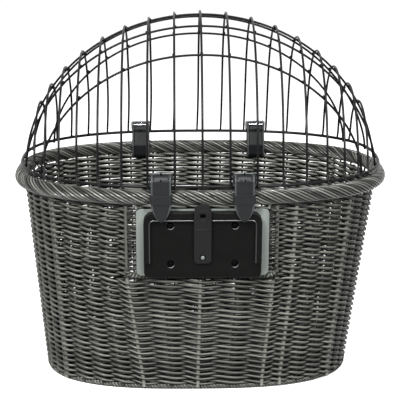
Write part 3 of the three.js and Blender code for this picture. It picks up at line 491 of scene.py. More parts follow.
def sweep_tree():
    sizes = [
        ("Diameter", "NodeSocketFloat", 0.004),
        ("Depth share", "NodeSocketFloat", 1.0),
        ("Sides", "NodeSocketInt", 6),
    ]
    tree, start, end = geometry_tree("round_sweep", sizes)
    to_curve = add_node(tree, "GeometryNodeMeshToCurve")
    upright = add_node(tree, "GeometryNodeSetCurveNormal", {"mode": "Z_UP"})
    length = add_node(tree, "GeometryNodeSplineParameter")
    keep_along = keep_value(tree, "strand_along", "FLOAT")
    radius = math_node(tree, "MULTIPLY", 0.5)
    circle = add_node(tree, "GeometryNodeCurvePrimitiveCircle")
    place = add_node(tree, "GeometryNodeInputPosition")
    direction = add_node(tree, "ShaderNodeVectorMath", {"operation": "NORMALIZE"})
    keep_around = keep_value(tree, "strand_around", "FLOAT_VECTOR")
    flat = add_node(tree, "ShaderNodeCombineXYZ", None, {"Y": 1.0, "Z": 1.0})
    shape = add_node(tree, "GeometryNodeTransform")
    swell = add_node(
        tree, "GeometryNodeInputNamedAttribute", {"data_type": "FLOAT"}, {"Name": "strand_swell"}
    )
    sweep = add_node(tree, "GeometryNodeCurveToMesh", None, {"Fill Caps": True})
    smooth = add_node(tree, "GeometryNodeSetShadeSmooth")
    chain(tree, start, to_curve, upright, keep_along, sweep, smooth)
    chain(tree, circle, keep_around, shape)
    chain(tree, place, direction)
    join(
        tree,
        (length, "Length", keep_along, "Value"),
        (start, "Diameter", radius, 0),
        (start, "Sides", circle, "Resolution"),
        (radius, 0, circle, "Radius"),
        (direction, 0, keep_around, "Value"),
        (start, "Depth share", flat, "X"),
        (flat, 0, shape, "Scale"),
        (shape, "Geometry", sweep, "Profile Curve"),
        (swell, "Attribute", sweep, "Scale"),
    )
    end_tree(tree, smooth, start, end)
    return tree


round_sweep = sweep_tree()
print("tree:", round_sweep.name, len(round_sweep.nodes), "nodes")

# %% [markdown]
# A guide object holds the lines, with a tone and a swell for every point. After the tree has run,
# its result is taken as a plain mesh, and the new piece rides on its body and stands for its solids.

# %% Guides and pieces
def guide_lines(name, lines):
    points, edges, tones, swells = [], [], [], []
    for line in lines:
        first, count = len(points), len(line["points"])
        points.extend(tuple(p) for p in line["points"])
        edges.extend((first + i, first + i + 1) for i in range(count - 1))
        if line.get("closed"):
            edges.append((first + count - 1, first))
        tone = line.get("tone", 0.5)
        tones.extend(tone if isinstance(tone, list) else [tone] * count)
        swells.extend(line.get("swell", [1.0] * count))
    mesh = bpy.data.meshes.new(name)
    mesh.from_pydata(points, edges, [])
    for label, values in (("strand_tone", tones), ("strand_swell", swells)):
        mesh.attributes.new(label, "FLOAT", "POINT").data.foreach_set("value", values)
    return new_object(name, mesh)


def flatten(made):
    """Takes the result of a piece's modifiers as its plain mesh."""
    view = bpy.context.evaluated_depsgraph_get()
    plain = bpy.data.meshes.new_from_object(made.evaluated_get(view))
    made.modifiers.clear()
    before = made.data
    made.data = plain
    bpy.data.meshes.remove(before)
    plain.name = made.name


def grow(name, lines, tree, inputs):
    made = guide_lines(name, lines)
    modifier = made.modifiers.new(tree.name, "NODES")
    modifier.node_group = tree
    for item in tree.interface.items_tree:
        if item.in_out == "INPUT" and item.name in inputs:
            modifier[item.identifier] = inputs[item.name]
    flatten(made)
    return made


def settle(made, body, slot, *stands_for):
    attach(made, body)
    if stands_for:
        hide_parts(*stands_for)
    made.data.calc_loop_triangles()
    print(made.name, len(made.data.loop_triangles), "triangles")
    return made


def swept(name, lines, diameter, sides, material, stands_for=(), slot="strand", body="basket", depth=1.0):
    inputs = {"Diameter": diameter, "Depth share": depth, "Sides": sides, "Material": material}
    return settle(grow(name, lines, round_sweep, inputs), body, slot, *stands_for)


print("pieces are swept by", round_sweep.name)

# %% [markdown]
# ## Plan of the tub
# Seen from above the tub is a squarish oval, a superellipse, that gets larger and rounder towards
# the rim. Four corner posts push the weave out a little. The hand-made tub also leans: its foot is
# a few millimetres to the left of its rim.

# %% Tub plan
SHIFT = 1.229 * MM
RIM_LEVEL = 251.5 * MM
WALL_TOP = 241.7 * MM
TUB_LEAN = 6.0 * MM
FOOT_HALF_WIDTH, WIDTH_GAIN = 197.5, 28.7
FOOT_HALF_DEPTH, DEPTH_GAIN = 138.0, 18.1
FOOT_POWER, POWER_LOSS = 2.8, 0.3
CORNER_TURN, CORNER_SPREAD = math.radians(40), math.radians(6)
CORNER_BULGE = 2.6 * MM
RING_STEPS = 2880


def tub_section(level):
    share = level / WALL_TOP
    return (
        (FOOT_HALF_WIDTH + WIDTH_GAIN * share) * MM,
        (FOOT_HALF_DEPTH + DEPTH_GAIN * share) * MM,
        FOOT_POWER - POWER_LOSS * share,
    )


def lean_at(level):
    return -TUB_LEAN * (1 - level / RIM_LEVEL)


def oval(turn, half_width, half_depth, power):
    across, deep = np.cos(turn), np.sin(turn)
    return (
        half_width * np.sign(across) * np.abs(across) ** (2 / power),
        half_depth * np.sign(deep) * np.abs(deep) ** (2 / power),
    )


def oval_reach(x, half_width, half_depth, power):
    """How deep the oval is, from its middle line, at a place across it."""
    return half_depth * (1 - np.minimum(np.abs(x) / half_width, 1) ** power) ** (1 / power)


def corner_stand(turn):
    fold = np.arccos(np.abs(np.cos(turn)))
    away = np.abs(fold - CORNER_TURN) / CORNER_SPREAD
    return CORNER_BULGE * np.exp(-1.5 * away**2)


print("rim half sizes:", [round(v, 3) for v in tub_section(WALL_TOP)])

# %% [markdown]
# Distances round the wall are counted in stakes. The front ones follow the posts in the picture,
# which spread apart as they rise to the window, and the others share the rest of the way evenly.

# %% Rings of the wall
WINDOW_FOOT = 147 * MM
POST_PLACES = [(-66, -90), (-32, -45), (0.4, 0), (39.8, 45), (80, 90)]
STAKE_STEPS = [4, 1, 1, 1, 1, 4, 11, 12, 11]
SIDE_TURNS = {"start": 220, "right": 320, "rear right": 400, "rear left": 500, "stop": 580}
FRONT_TURN = 270
STAKES = sum(STAKE_STEPS)
LEFT_POST, FRONT_STAKE, RIGHT_POST = 4, 6, 8
CORNER_STAKES = (0, 12, 23, 35)
WINDOW_POSTS = (LEFT_POST, RIGHT_POST)


class Ring:
    """One level of the wall: places and outward directions by distance round the plan."""

    def __init__(self, level):
        self.level = level
        half_width, half_depth, power = tub_section(level)
        turn = np.radians(np.linspace(SIDE_TURNS["start"], SIDE_TURNS["stop"], RING_STEPS + 1))
        x, y = oval(turn, half_width, half_depth, power)
        bulge = 1 + corner_stand(turn) / np.hypot(x, y)
        self.x, self.y = x * bulge + lean_at(level), y * bulge + SHIFT
        step = np.hypot(np.diff(self.x), np.diff(self.y))
        self.arc = np.concatenate([[0], np.cumsum(step)])
        dx, dy = np.gradient(self.x, self.arc), np.gradient(self.y, self.arc)
        size = np.hypot(dx, dy)
        self.out_x, self.out_y = dy / size, -dx / size
        self.stakes = self.stake_arcs(turn, half_width, power)

    def stake_arcs(self, turn, half_width, power):
        share = min(self.level / WINDOW_FOOT, 1.0)
        x = np.array([(1 - share) * low + share * high for low, high in POST_PLACES]) * MM
        slant = np.sign(x) * (np.abs(x) / half_width) ** (power / 2)
        start, *others = SIDE_TURNS.values()
        fixed = [start, *(FRONT_TURN + np.degrees(np.arcsin(slant))), *others]
        arcs = np.interp(np.radians(fixed), turn, self.arc)
        spans = zip(arcs, arcs[1:], STAKE_STEPS)
        whole = [arc for low, high, count in spans for arc in np.linspace(low, high, count + 1)[:-1]]
        return np.array([*whole, arcs[-1]])

    def at(self, stake, out, height):
        arc = np.interp(np.mod(stake, STAKES), np.arange(STAKES + 1), self.stakes)
        x = np.interp(arc, self.arc, self.x) + np.interp(arc, self.arc, self.out_x) * out
        y = np.interp(arc, self.arc, self.y) + np.interp(arc, self.arc, self.out_y) * out
        return np.stack([x, y, self.level + height + 0 * x], axis=1)


print("stakes:", STAKES, "round the tub:", round(Ring(WALL_TOP / 2).arc[-1], 3), "m")

# %% [markdown]
# ## The weave
# The wall is a pairing weave: two strands run together round the tub, and at every stake one goes
# in front and the other behind, and they change places between two stakes. A row is a cosine in
# and out with a sine up and down a quarter of a turn later, which gives each stroke its fall to the
# right. A texture could fake this, but the gaps between the rows are real holes with light behind.
# Where a strand runs behind a stake it is painted darker, as painted shade, and at the rear and the sides
# the strands are thicker, so that the far wall looks as closed as it does in the picture. Spans along a
# row are in stakes.

# %% Sizes of the weave
ROW_PITCH = 6.8 * MM
FIRST_ROW = 8.5 * MM
ROWS = 35
STRAND = 4.3 * MM
STRAND_DEPTH_SHARE = 0.8
STRAND_NECK = 0.76
WALL_MIDDLE = -3.9 * MM
WEAVE_DEPTH = 2.8 * MM
TWIST_HEIGHT = 1.45 * MM
FRONT_RISE = 0.65 * MM
STAKE_DIP = 1.0 * MM
POST_PUSH = 0.8 * MM
POST_DROP, CORNER_DROP = 1.2 * MM, 0.6 * MM
POST_SAG, SAG_ROWS = 3.2 * MM, 2.4
POST_SLIM = 0.32
REAR_SWELL = 0.34
BEHIND_STAKE_SHADE = 0.6
ROW_TONES = (0.36, 0.84)
STEPS_PER_STAKE = 8
WINDOW_ROW = 21
ROD_INSET = 6.3 * MM
LOOP_RADIUS = 4.2 * MM
LOOP_SWELL = 0.85
REAR_STAKE, LOOSE_FROM = 29, 22
CORNER_SPAN, POST_SPAN, END_SPAN, SAG_SPAN = 0.4, 0.36, 0.45, 0.7
FRONT_SPAN, REAR_SPAN = 2.6, 6.5
rng = np.random.default_rng(11)
print("weave height:", round((FIRST_ROW + ROWS * ROW_PITCH) / MM, 1), "mm")

# %% [markdown]
# The shape of a row is worked out for all its points at once. Near a post the strands are pushed
# out and down, and the rows just under the window sag beside its posts.

# %% Shape of a row
def waves(count, low, high):
    return [(rng.uniform(low, high), rng.uniform(0, 2 * math.pi)) for _ in range(count)]


def wander(stake, parts):
    turns = stake * 2 * math.pi / STAKES
    return sum(np.sin(round(pace) * turns + start) for pace, start in parts) / len(parts)


def beside(stake, places, spread):
    """One at the given stakes, falling to nothing within about two spreads."""
    away = [(stake - place + STAKES / 2) % STAKES - STAKES / 2 for place in places]
    return sum(np.exp(-((gap / spread) ** 2)) for gap in away)


def row_shape(row, number, stake):
    """How far out, high and thick a strand is, and how much painted shade it gets behind a stake."""
    phase = math.pi * (stake + number)
    over = np.cos(phase)
    low = row < WINDOW_ROW
    corners = beside(stake, CORNER_STAKES, CORNER_SPAN)
    posts = beside(stake, (*WINDOW_POSTS, FRONT_STAKE), POST_SPAN) if low else 0 * over
    ends = 0 * over if low else beside(stake, WINDOW_POSTS, END_SPAN)
    out = WALL_MIDDLE + WEAVE_DEPTH * over + POST_PUSH * (corners + posts)
    out -= ends * (WALL_MIDDLE + ROD_INSET - (LOOP_RADIUS - WEAVE_DEPTH) * over)
    facing = np.cos(2 * math.pi * (stake - FRONT_STAKE) / STAKES)
    dip = STAKE_DIP * 0.5 * (1 + beside(stake, (FRONT_STAKE,), FRONT_SPAN))
    height = -TWIST_HEIGHT * np.sin(phase) + FRONT_RISE * facing * over - dip * (over**2 - 0.5)
    height -= POST_DROP * posts + CORNER_DROP * corners
    if low:
        sag = POST_SAG * math.exp((row - WINDOW_ROW + 1) / SAG_ROWS)
        height -= sag * beside(stake, WINDOW_POSTS, SAG_SPAN)
    swell = STRAND_NECK + (1 - STRAND_NECK) * over**2
    swell *= (1 + REAR_SWELL * np.clip(0.5 - 1.5 * facing, 0, 1)) * (1 - POST_SLIM * posts)
    # Painted shade on the part of a strand that is turned away from view, behind a stake.
    seen = over * np.clip(2 * facing + 0.7, -1, 1)
    return out, height, swell, BEHIND_STAKE_SHADE * np.clip(0.4 - 1.4 * seen, 0, 1)


def strand_points(row, number, stake, loose):
    out, height, swell, shade = row_shape(row, number, stake)
    rear_top = beside(stake, (REAR_STAKE,), REAR_SPAN) * max(0, row - LOOSE_FROM) / (ROWS - LOOSE_FROM)
    height = height + wander(stake, loose) * (0.3 + 1.0 * rear_top) * MM
    return Ring(FIRST_ROW + row * ROW_PITCH).at(stake, out, height), swell, shade


print("depth of the weave:", round(2 * WEAVE_DEPTH / MM, 1), "mm")

# %% [markdown]
# Below the window a row is two closed rings. Beside the window it is one long loop: the front
# strand turns round the window's rod and comes back as the rear strand.

# %% Rows of strands
def loop_round(front, back, side):
    """The half turn of a row round the window's rod, from its front strand to its back one."""
    turn = np.linspace(0, math.pi, 9)[1:-1, None]
    middle, reach = (front + back) / 2, (front - back) / 2
    aside = np.array([side, 0, 0]) * LOOP_RADIUS
    return middle + reach * np.cos(turn) + aside * np.sin(turn)


def woven_rows(row):
    loose = waves(5, 3, 15)
    if row < WINDOW_ROW:
        stake = np.arange(STAKES * STEPS_PER_STAKE) / STEPS_PER_STAKE
        lines = []
        for points, swell, shade in (strand_points(row, number, stake, loose) for number in (0, 1)):
            tone = list(rng.uniform(*ROW_TONES) - shade)
            lines.append({"points": points, "swell": list(swell), "closed": True, "tone": tone})
        return lines
    span = LEFT_POST + STAKES - RIGHT_POST
    stake = np.linspace(RIGHT_POST, LEFT_POST + STAKES, span * STEPS_PER_STAKE + 1)
    front, swell, front_shade = strand_points(row, 0, stake, loose)
    back, _, back_shade = strand_points(row, 1, stake, loose)
    left = loop_round(front[-1], back[-1], 1)
    right = loop_round(front[0], back[0], -1)[::-1]
    tone = rng.uniform(*ROW_TONES)
    bend_swell, bend_tone = [LOOP_SWELL] * len(left), [tone] * len(left)
    return [{
        "points": np.concatenate([front, left, back[::-1], right]),
        "swell": [*swell, *bend_swell, *swell[::-1], *bend_swell],
        "tone": [*(tone - front_shade), *bend_tone, *(tone - back_shade[::-1]), *bend_tone],
        "closed": True,
    }]


rows = {"lower": [], "upper": []}
for row in range(ROWS):
    rows["lower" if row < WINDOW_ROW - 4 else "upper"].extend(woven_rows(row))
for part, lines in rows.items():
    swept("woven_rows_" + part, lines, STRAND, 6, weaving_strand, ["woven_wall"], depth=STRAND_DEPTH_SHARE)

# %% [markdown]
# ## Stakes and posts
# The stakes are the upright rods that the rows run round. Most are thin; the posts at the corners
# and under the window are thicker. They bend outward at the foot and end in front of its border.

# %% Stakes
POSTS = (*CORNER_STAKES, *WINDOW_POSTS, FRONT_STAKE, 9)
STAKE_FOOT, STAKE_TOP, STAKE_FLARE = 3.4 * MM, 246 * MM, 3.4 * MM
POST_STAND = 1.3 * MM
POST_LOOK, STAKE_LOOK = {"tone": 1.15, "swell": 1.6}, {"tone": 0.2, "swell": 0.95}


def stake_line(number):
    post = number in POSTS
    look = POST_LOOK if post else STAKE_LOOK
    levels = np.linspace(STAKE_FOOT, WINDOW_FOOT if LEFT_POST <= number <= RIGHT_POST else STAKE_TOP, 36)
    points = []
    for level in levels:
        flare = STAKE_FLARE * math.exp(-(((level - STAKE_FOOT) / (4.0 * MM)) ** 2))
        out = WALL_MIDDLE + (POST_STAND if post else 0) + flare
        points.append(Ring(level).at(np.array([float(number)]), out, 0)[0])
    return {"points": points, "tone": look["tone"], "swell": [look["swell"]] * len(points)}


stakes = [stake_line(number) for number in range(STAKES)]
swept("stake_rods", stakes, 3.0 * MM, 8, upright_strand, ["woven_wall"])

# %% [markdown]
# ## Rim
# The rim is a rope border: thirteen strands laid side by side round a core, with about one turn every
# ninety millimetres. The same helix runs all the way round.

# %% Rim rope
AHEAD = 0.002


def rope(centre, strands, turns, radius, points_per_turn, seed):
    """Lines that wind round a closed centre line. centre(share) gives place and outward plan direction."""
    steps = int(turns * points_per_turn)
    share = np.arange(steps) / steps
    x, y, z, out_x, out_y = centre(share)
    lines = []
    for k, tone in enumerate(np.random.default_rng(seed).uniform(0, 1, strands)):
        turn = 2 * math.pi * (k / strands - share * turns)
        out, up = radius * np.cos(turn), radius * np.sin(turn)
        points = np.stack([x + out_x * out, y + out_y * out, z + up], axis=1)
        lines.append({"points": points, "closed": True, "tone": tone})
    return lines


def core(centre, turns, seed):
    """One strand in the middle of a rope."""
    return rope(centre, 1, turns, 0.01 * MM, 12, seed)


def oval_centre(half_width, half_depth, power, level, leaning=0.0):
    turn = np.linspace(0, 2 * math.pi, RING_STEPS + 1)
    x, y = oval(turn, half_width, half_depth, power)
    arc = np.concatenate([[0], np.cumsum(np.hypot(np.diff(x), np.diff(y)))])

    def spot(at):
        return np.array([np.interp(at % arc[-1], arc, x), np.interp(at % arc[-1], arc, y)])

    def centre(share):
        at = share * arc[-1]
        px, py = spot(at)
        dx, dy = spot(at + AHEAD) - spot(at - AHEAD)
        size = np.hypot(dx, dy)
        return px + leaning, py + SHIFT, np.full(share.shape, level), dy / size, -dx / size

    return centre


RIM_OVAL = (230.5, 155.5, 2.5)
rim_centre = oval_centre(RIM_OVAL[0] * MM, RIM_OVAL[1] * MM, RIM_OVAL[2], RIM_LEVEL)
swept("rim_rope", rope(rim_centre, 13, 14, 7.9 * MM, 24, 3), 2.45 * MM, 7, rim_strand, ["rim_border"])
swept("rim_core", core(rim_centre, 17, 4), 12.4 * MM, 12, core_strand, ["rim_border"])

# %% [markdown]
# ## Foot
# The foot is a thin ring bound with a fine cord, on which the basket stands.

# %% Foot rope
foot_centre = oval_centre(194.9 * MM, 135.3 * MM, FOOT_POWER, 3.2 * MM, lean_at(0))
foot_cord = rope(foot_centre, 3, 90, 2.1 * MM, 9, 5)
swept("foot_rope", foot_cord, 2.2 * MM, 6, weaving_strand, ["foot_border"])
swept("foot_core", core(foot_centre, 24, 6), 4.0 * MM, 8, core_strand, ["foot_border"])

# %% [markdown]
# ## Base
# The floor of the tub is a flat mat in the same pairing weave, so it is made from the same kind of
# wavy lines, only lying down: each pair of strands passes over and under the bearers.

# %% Base mat
BASE_LEVEL = 8.8 * MM
BASE_HALF_WIDTH, BASE_HALF_DEPTH = 192.5, 133.5
BEARER_PITCH, MAT_PITCH = 24.0, 4.25
MAT_WAVE, MAT_RISE = 1.0, 1.2 * MM
base_lines = []
for row in range(-31, 32):
    y = row * MAT_PITCH
    half = oval_reach(y, BASE_HALF_DEPTH, BASE_HALF_WIDTH, FOOT_POWER)
    x = np.linspace(-half, half, int(half / BEARER_PITCH * 12))
    for number in (0, 1):
        phase = math.pi * (x / BEARER_PITCH + number)
        across = (y + MAT_WAVE * np.sin(phase)) * MM + SHIFT
        points = np.stack([x * MM + lean_at(0), across, BASE_LEVEL + MAT_RISE * np.cos(phase)], axis=1)
        base_lines.append({"points": points, "tone": rng.uniform(0, 0.8)})
swept("base_mat", base_lines, 3.7 * MM, 5, weaving_strand, ["base_panel"])
bearers = []
for number in range(-7, 8):
    x = number * BEARER_PITCH
    half = oval_reach(x, BASE_HALF_WIDTH, BASE_HALF_DEPTH, FOOT_POWER)
    points = [(x * MM + lean_at(0), side * half * MM + SHIFT, BASE_LEVEL) for side in (-1, 1)]
    bearers.append({"points": points, "tone": rng.uniform(0, 1)})
swept("base_bearers", bearers, 2.4 * MM, 6, weaving_strand, ["base_panel"])

# %% [markdown]
# ## Window frame
# A rod borders the window on three sides. All that lies there is drawn flat on the leaning plane of
# the mount, in millimetres, and put in its place by one function.

# %% Mount plane
MOUNT_DEPTH = 147.443 * MM
MOUNT_LEVEL = 152.8 * MM
WALL_LEAN = math.atan(DEPTH_GAIN * MM / WALL_TOP)


def mount_place(x, out, up):
    """A place on the leaning mount plane, in millimetres across, outward and up, as metres."""
    y = -out * math.cos(WALL_LEAN) - up * math.sin(WALL_LEAN)
    z = -out * math.sin(WALL_LEAN) + up * math.cos(WALL_LEAN)
    return (x * MM, y * MM - MOUNT_DEPTH + SHIFT, z * MM + MOUNT_LEVEL)


def bend(x, y, radius, start, stop, steps):
    turns = np.linspace(math.radians(start), math.radians(stop), steps + 1)
    return [(x + radius * math.cos(t), y + radius * math.sin(t)) for t in turns]


def resample(line, step):
    """The line with even steps, and the distance walked at each of its points."""
    line = np.array(line, dtype=float)
    walked = np.concatenate([[0], np.cumsum(np.linalg.norm(np.diff(line, axis=0), axis=1))])
    at = np.linspace(0, walked[-1], max(int(walked[-1] / step), 2) + 1)
    return np.stack([np.interp(at, walked, column) for column in line.T], axis=1), at


print("mount plane:", [round(v, 4) for v in mount_place(0, 0, 0)])

# %% [markdown]
# The rod's foot is bound closely with a thin strand, and a few looser turns tie it to the wall
# below. On its sides the rows of the wall loop round it.

# %% Frame rod and its binding
ROD_HALF, ROD_TOP, ROD_TURN, ROD_BEND = 91.2, 88, 7, 10.2
ROD_OUT = -4.3
BINDING_PITCH, BINDING_RADIUS = 4.6, 2.7
TIE_PLACES = (-49, -46, -3, 1, 4, 38, 42, 46, 60, 88)
TIE_RADIUS, TIE_SLANT, TIE_LEVEL = 4.6, 1.5, -3.4


def rod_place(x, out, up):
    return mount_place(x - 1.0, ROD_OUT + out, up - 0.3)


rod_foot = [
    *bend(ROD_BEND - ROD_HALF, ROD_TURN, ROD_BEND, 180, 270, 6),
    *bend(ROD_HALF - ROD_BEND, ROD_TURN, ROD_BEND, 270, 360, 6),
]
rod_line = [(-ROD_HALF, ROD_TOP), (-ROD_HALF, ROD_TURN), *rod_foot, (ROD_HALF, ROD_TOP)]
rod_points = [rod_place(x, 0, up) for x, up in resample(rod_line, 3)[0]]
swept("frame_rod", [{"points": rod_points}], 4.4 * MM, 10, upright_strand, ["window_frame"])

foot_line, foot_walk = resample(rod_foot[:-1], 0.42)
ahead = np.gradient(foot_line, axis=0)
aside = np.stack([ahead[:, 1], -ahead[:, 0]], axis=1) / np.linalg.norm(ahead, axis=1)[:, None]
binding = []
for number in range(2):
    turn = foot_walk * 2 * math.pi / BINDING_PITCH + math.pi * number
    path = foot_line + aside * (BINDING_RADIUS * np.cos(turn))[:, None]
    points = [rod_place(x, BINDING_RADIUS * math.sin(t), up) for (x, up), t in zip(path, turn)]
    binding.append({"points": points, "tone": 0.25 + 0.6 * number})
for x in TIE_PLACES:
    ring = []
    for t in np.linspace(0, 2 * math.pi, 13)[:-1]:
        out, up = ROD_OUT + TIE_RADIUS * math.sin(t), TIE_LEVEL + TIE_RADIUS * math.cos(t)
        ring.append(mount_place(x + TIE_SLANT * math.cos(t), out, up))
    binding.append({"points": ring, "closed": True, "tone": rng.uniform(0, 1)})
swept("frame_binding", binding, 2.2 * MM, 6, weaving_strand, ["window_frame"])

# %% [markdown]
# Short strands tie the steel plate to the side rods like the rungs of a ladder, and daylight shows
# between them. Those on the left lie level, and those on the right slope up to the rod.

# %% Ladder strands beside the plate
RUNG_PITCH = 6.6
RUNG_OUTER, RUNG_INNER = (91.0, -1.6), (77.0, -3.4)
RUNG_BOW = 0.7
ladder = []
for number in range(1, 13):
    up = number * RUNG_PITCH
    for side, rise, thick in ((-1, 0.0, 1.0), (1, 1.9, 1.1)):
        start = np.array((side * RUNG_OUTER[0], RUNG_OUTER[1], up + rise))
        stop = np.array((side * RUNG_INNER[0], RUNG_INNER[1], up - rise * 0.6))
        points = []
        for share in np.linspace(0, 1, 7):
            x, out, level = start + (stop - start) * share
            points.append(mount_place(x, out + RUNG_BOW * math.sin(math.pi * share), level))
        # Their tones run darker than the wall's: painted shade, as they lie set back beside the plate.
        ladder.append({"points": points, "tone": rng.uniform(-0.3, 0.15), "swell": [thick] * len(points)})
swept("ladder_strands", ladder, 1.95 * MM, 8, weaving_strand, ["window_frame"])

# %% [markdown]
# Where each of these strands turns round the rod, a pale bead is a painted highlight on its bend. The
# beads are set on single points by a small tree, which the welds of the grille use again further down.

# %% Bead tree
def bead_tree():
    tree, start, end = geometry_tree("small_beads", [("Bead", "NodeSocketFloat", 0.0016)])
    ball = add_node(tree, "GeometryNodeMeshIcoSphere", None, {"Subdivisions": 2})
    place = add_node(tree, "GeometryNodeInstanceOnPoints")
    smooth = add_node(tree, "GeometryNodeSetShadeSmooth")
    chain(tree, start, place, smooth)
    join(tree, (start, "Bead", ball, "Radius"), (ball, "Mesh", place, "Instance"))
    end_tree(tree, smooth, start, end)
    return tree


small_beads = bead_tree()


def beads(name, spots, radius, material, body, slot):
    inputs = {"Bead": radius, "Material": material}
    return settle(grow(name, [{"points": [spot]} for spot in spots], small_beads, inputs), body, slot)


# A near-white finish for the beads: a painted highlight.
highlight_bead_finish = finish(
    "highlight_bead_finish", (0.5, 0.5, 0.48), (0.75, 0.75, 0.72), 300, (0.35, 0.1),
    (700, 0.3), 0.05, shine(0.5),
)
highlight_spots = [
    mount_place(side * 85.3, -2.2, number * RUNG_PITCH + lift)
    for number in range(1, 12) for side, lift in ((-1, -0.4), (1, 0.6))
]
beads("ladder_highlights", highlight_spots, 1.25 * MM, highlight_bead_finish, "basket", "strand")

# %% [markdown]
# ## Grille
# Seventeen hoops and five long wires lie on a dome and are welded to a base wire. Their lines
# follow the dome's two ellipses, and the same sweep turns them into rods. Each hoop's foot bends
# along the base wire, as it does on the welded original.

# %% Dome of the grille
GRILLE_HALF_WIDTH, GRILLE_HALF_DEPTH, GRILLE_POWER = 230.0, 155.0, 2.5
GRILLE_LEVEL, GRILLE_TILT = 264.4, math.radians(1.8)
DOME_HALF_WIDTH, DOME_HEIGHT, DOME_SINK = 231.066, 208.5, 20.0
FOOT_OUT, HOOP_OUT, LONG_OUT = 3.9, -0.6, -3.9


def dome_reach(x, out):
    return oval_reach(x, GRILLE_HALF_WIDTH + out, GRILLE_HALF_DEPTH + out, GRILLE_POWER)


def dome_rise(x, out):
    return np.maximum(oval_reach(x, DOME_HALF_WIDTH + out, DOME_HEIGHT + out, 2) - DOME_SINK, 0)


def grille_level(y):
    return GRILLE_LEVEL + (y + GRILLE_HALF_DEPTH) * math.tan(GRILLE_TILT)


def grille_points(x, y, z):
    return np.stack([x * MM + 0 * y, y * MM + SHIFT, z * MM], axis=1)


print("dome height:", round(float(dome_rise(0, 0)), 1), "mm")

# %% [markdown]
# A hoop is half an ellipse from the front of the basket to its rear. Its feet stand outside the base
# wire, and its upper part lies just inside the dome, where the long wires pass under it. The rear
# feet stand a little to the left of the front ones, most of all at the left, as in the picture.

# %% Grille wires
HOOP_SPAN, HOOP_FAN, HOOPS_A_SIDE = 207, 69, 8
LONG_PITCH = 45.5
FOOT_HEIGHT, SPLAY_HEIGHT, SPLAY = 12, 75, 3.0
WIRE, BASE_WIRE = 2.9 * MM, 4.0 * MM
TOE = np.array([(3.6, 0.1, -1.6), (1.6, 0.0, -1.3)]) * MM


def hoop_line(x):
    turn = np.linspace(0, math.pi, 61)
    height = dome_rise(x, HOOP_OUT) * np.sin(turn)
    share = np.clip(height / FOOT_HEIGHT, 0, 1)
    blend = share * share * (3 - 2 * share)
    y = -dome_reach(x, FOOT_OUT + (HOOP_OUT - FOOT_OUT) * blend) * np.cos(turn)
    splay = np.clip(1 - height / SPLAY_HEIGHT, 0, 1) ** 2 * np.where(turn > math.pi / 2, 1, 0)
    across = x - splay * (SPLAY * (1 - x / HOOP_SPAN) / 2 + 0.2)
    line = grille_points(across, y, grille_level(y) + height)
    return np.concatenate([line[0] + TOE, line, line[-1] + (TOE * (-1, -1, 1))[::-1]])


def long_line(y):
    end = oval_reach(y, GRILLE_HALF_DEPTH + LONG_OUT, GRILLE_HALF_WIDTH + LONG_OUT, GRILLE_POWER)
    x = -end * np.cos(np.linspace(0, math.pi, 91))
    reach = np.maximum(dome_reach(x, LONG_OUT), max(abs(y), 0.3))
    height = dome_rise(x, LONG_OUT) * np.sqrt(reach**2 - y**2) / reach
    line = grille_points(x, y + 0 * x, grille_level(y) + height)
    drop = (0, 0, -2.0 * MM)
    return np.concatenate([line[:1] + drop, line, line[-1:] + drop])


fan = [math.sin(math.radians(HOOP_FAN * k / HOOPS_A_SIDE)) for k in range(-HOOPS_A_SIDE, HOOPS_A_SIDE + 1)]
hoop_lines = [{"points": hoop_line(HOOP_SPAN * share / fan[-1])} for share in fan]
long_lines = [{"points": long_line(LONG_PITCH * k)} for k in range(-2, 3)]
base_x, base_y = oval(
    np.linspace(0, 2 * math.pi, 241)[:-1], GRILLE_HALF_WIDTH, GRILLE_HALF_DEPTH, GRILLE_POWER
)
base_ring = grille_points(base_x, base_y, grille_level(base_y))
grille_pieces = {
    "grille_hoops": (hoop_lines, WIRE, 10, [f"grille_hoop_{k:02d}" for k in range(1, 18)]),
    "grille_long_wires": (long_lines, WIRE, 10, [f"grille_long_wire_{k}" for k in range(1, 6)]),
    "grille_base_ring": ([{"points": base_ring, "closed": True}], BASE_WIRE, 12, ["grille_base_wire"]),
}
for name, (lines, diameter, sides, nodes) in grille_pieces.items():
    swept(name, lines, diameter, sides, coated_wire, nodes, "painted_wire", "grille")

# %% [markdown]
# ## Welds
# Every crossing is a small bead of weld under the same paint, so the bead tree is used once more.

# %% Weld beads
WELD_REACH = 5.5 * MM


def nearest_pair(first, second):
    """The middle of the closest two points of two lines, and their distance."""
    gaps = np.linalg.norm(first[:, None] - second[None], axis=2)
    i, j = np.unravel_index(np.argmin(gaps), gaps.shape)
    return (first[i] + second[j]) / 2, gaps[i, j]


crossings = [nearest_pair(hoop["points"], long["points"]) for hoop in hoop_lines for long in long_lines]
feet = [hoop["points"][[k]] for hoop in hoop_lines for k in (2, -3)]
feet += [long["points"][[k]] for long in long_lines for k in (1, -2)]
welds = [spot for spot, gap in crossings if gap < WELD_REACH]
welds += [nearest_pair(foot, base_ring)[0] for foot in feet]
beads("grille_welds", welds, 2.0 * MM, coated_wire, "grille", "painted_wire")

# %% [markdown]
# ## Straps
# Each strap is one leather belt: folded round the buckle's bar, down and under the rim, up inside,
# over the base wire, through the buckle and down to a pointed tip. Its line is drawn in the plane
# across the rim, and a padded section with a sewing groove is lofted along it.

# %% Belt line
RIM_TOP, RIM_RADIUS, BASE_WIRE_RADIUS = 261.0, 9.5, 2.0
STRAP_HALF, HALF_THICK = 12.0, 1.0
CLEAR, CHAPE_CLEAR = 0.3, 1.8
FOLD, RIM_BEND, CREST_BEND, HEEL_BEND = 2.2, 3.4, 6, 8.5
INNER_TOP, TIP_LEVEL, TIP_OUT = 256.2, 224.7, 4.5
HEEL_DROP, HEEL_BACK, HEEL_UP, FOLD_TAIL = 9, 4.0, 2.4, 6


def rim_depth(x):
    return float(oval_reach(x, *RIM_OVAL))


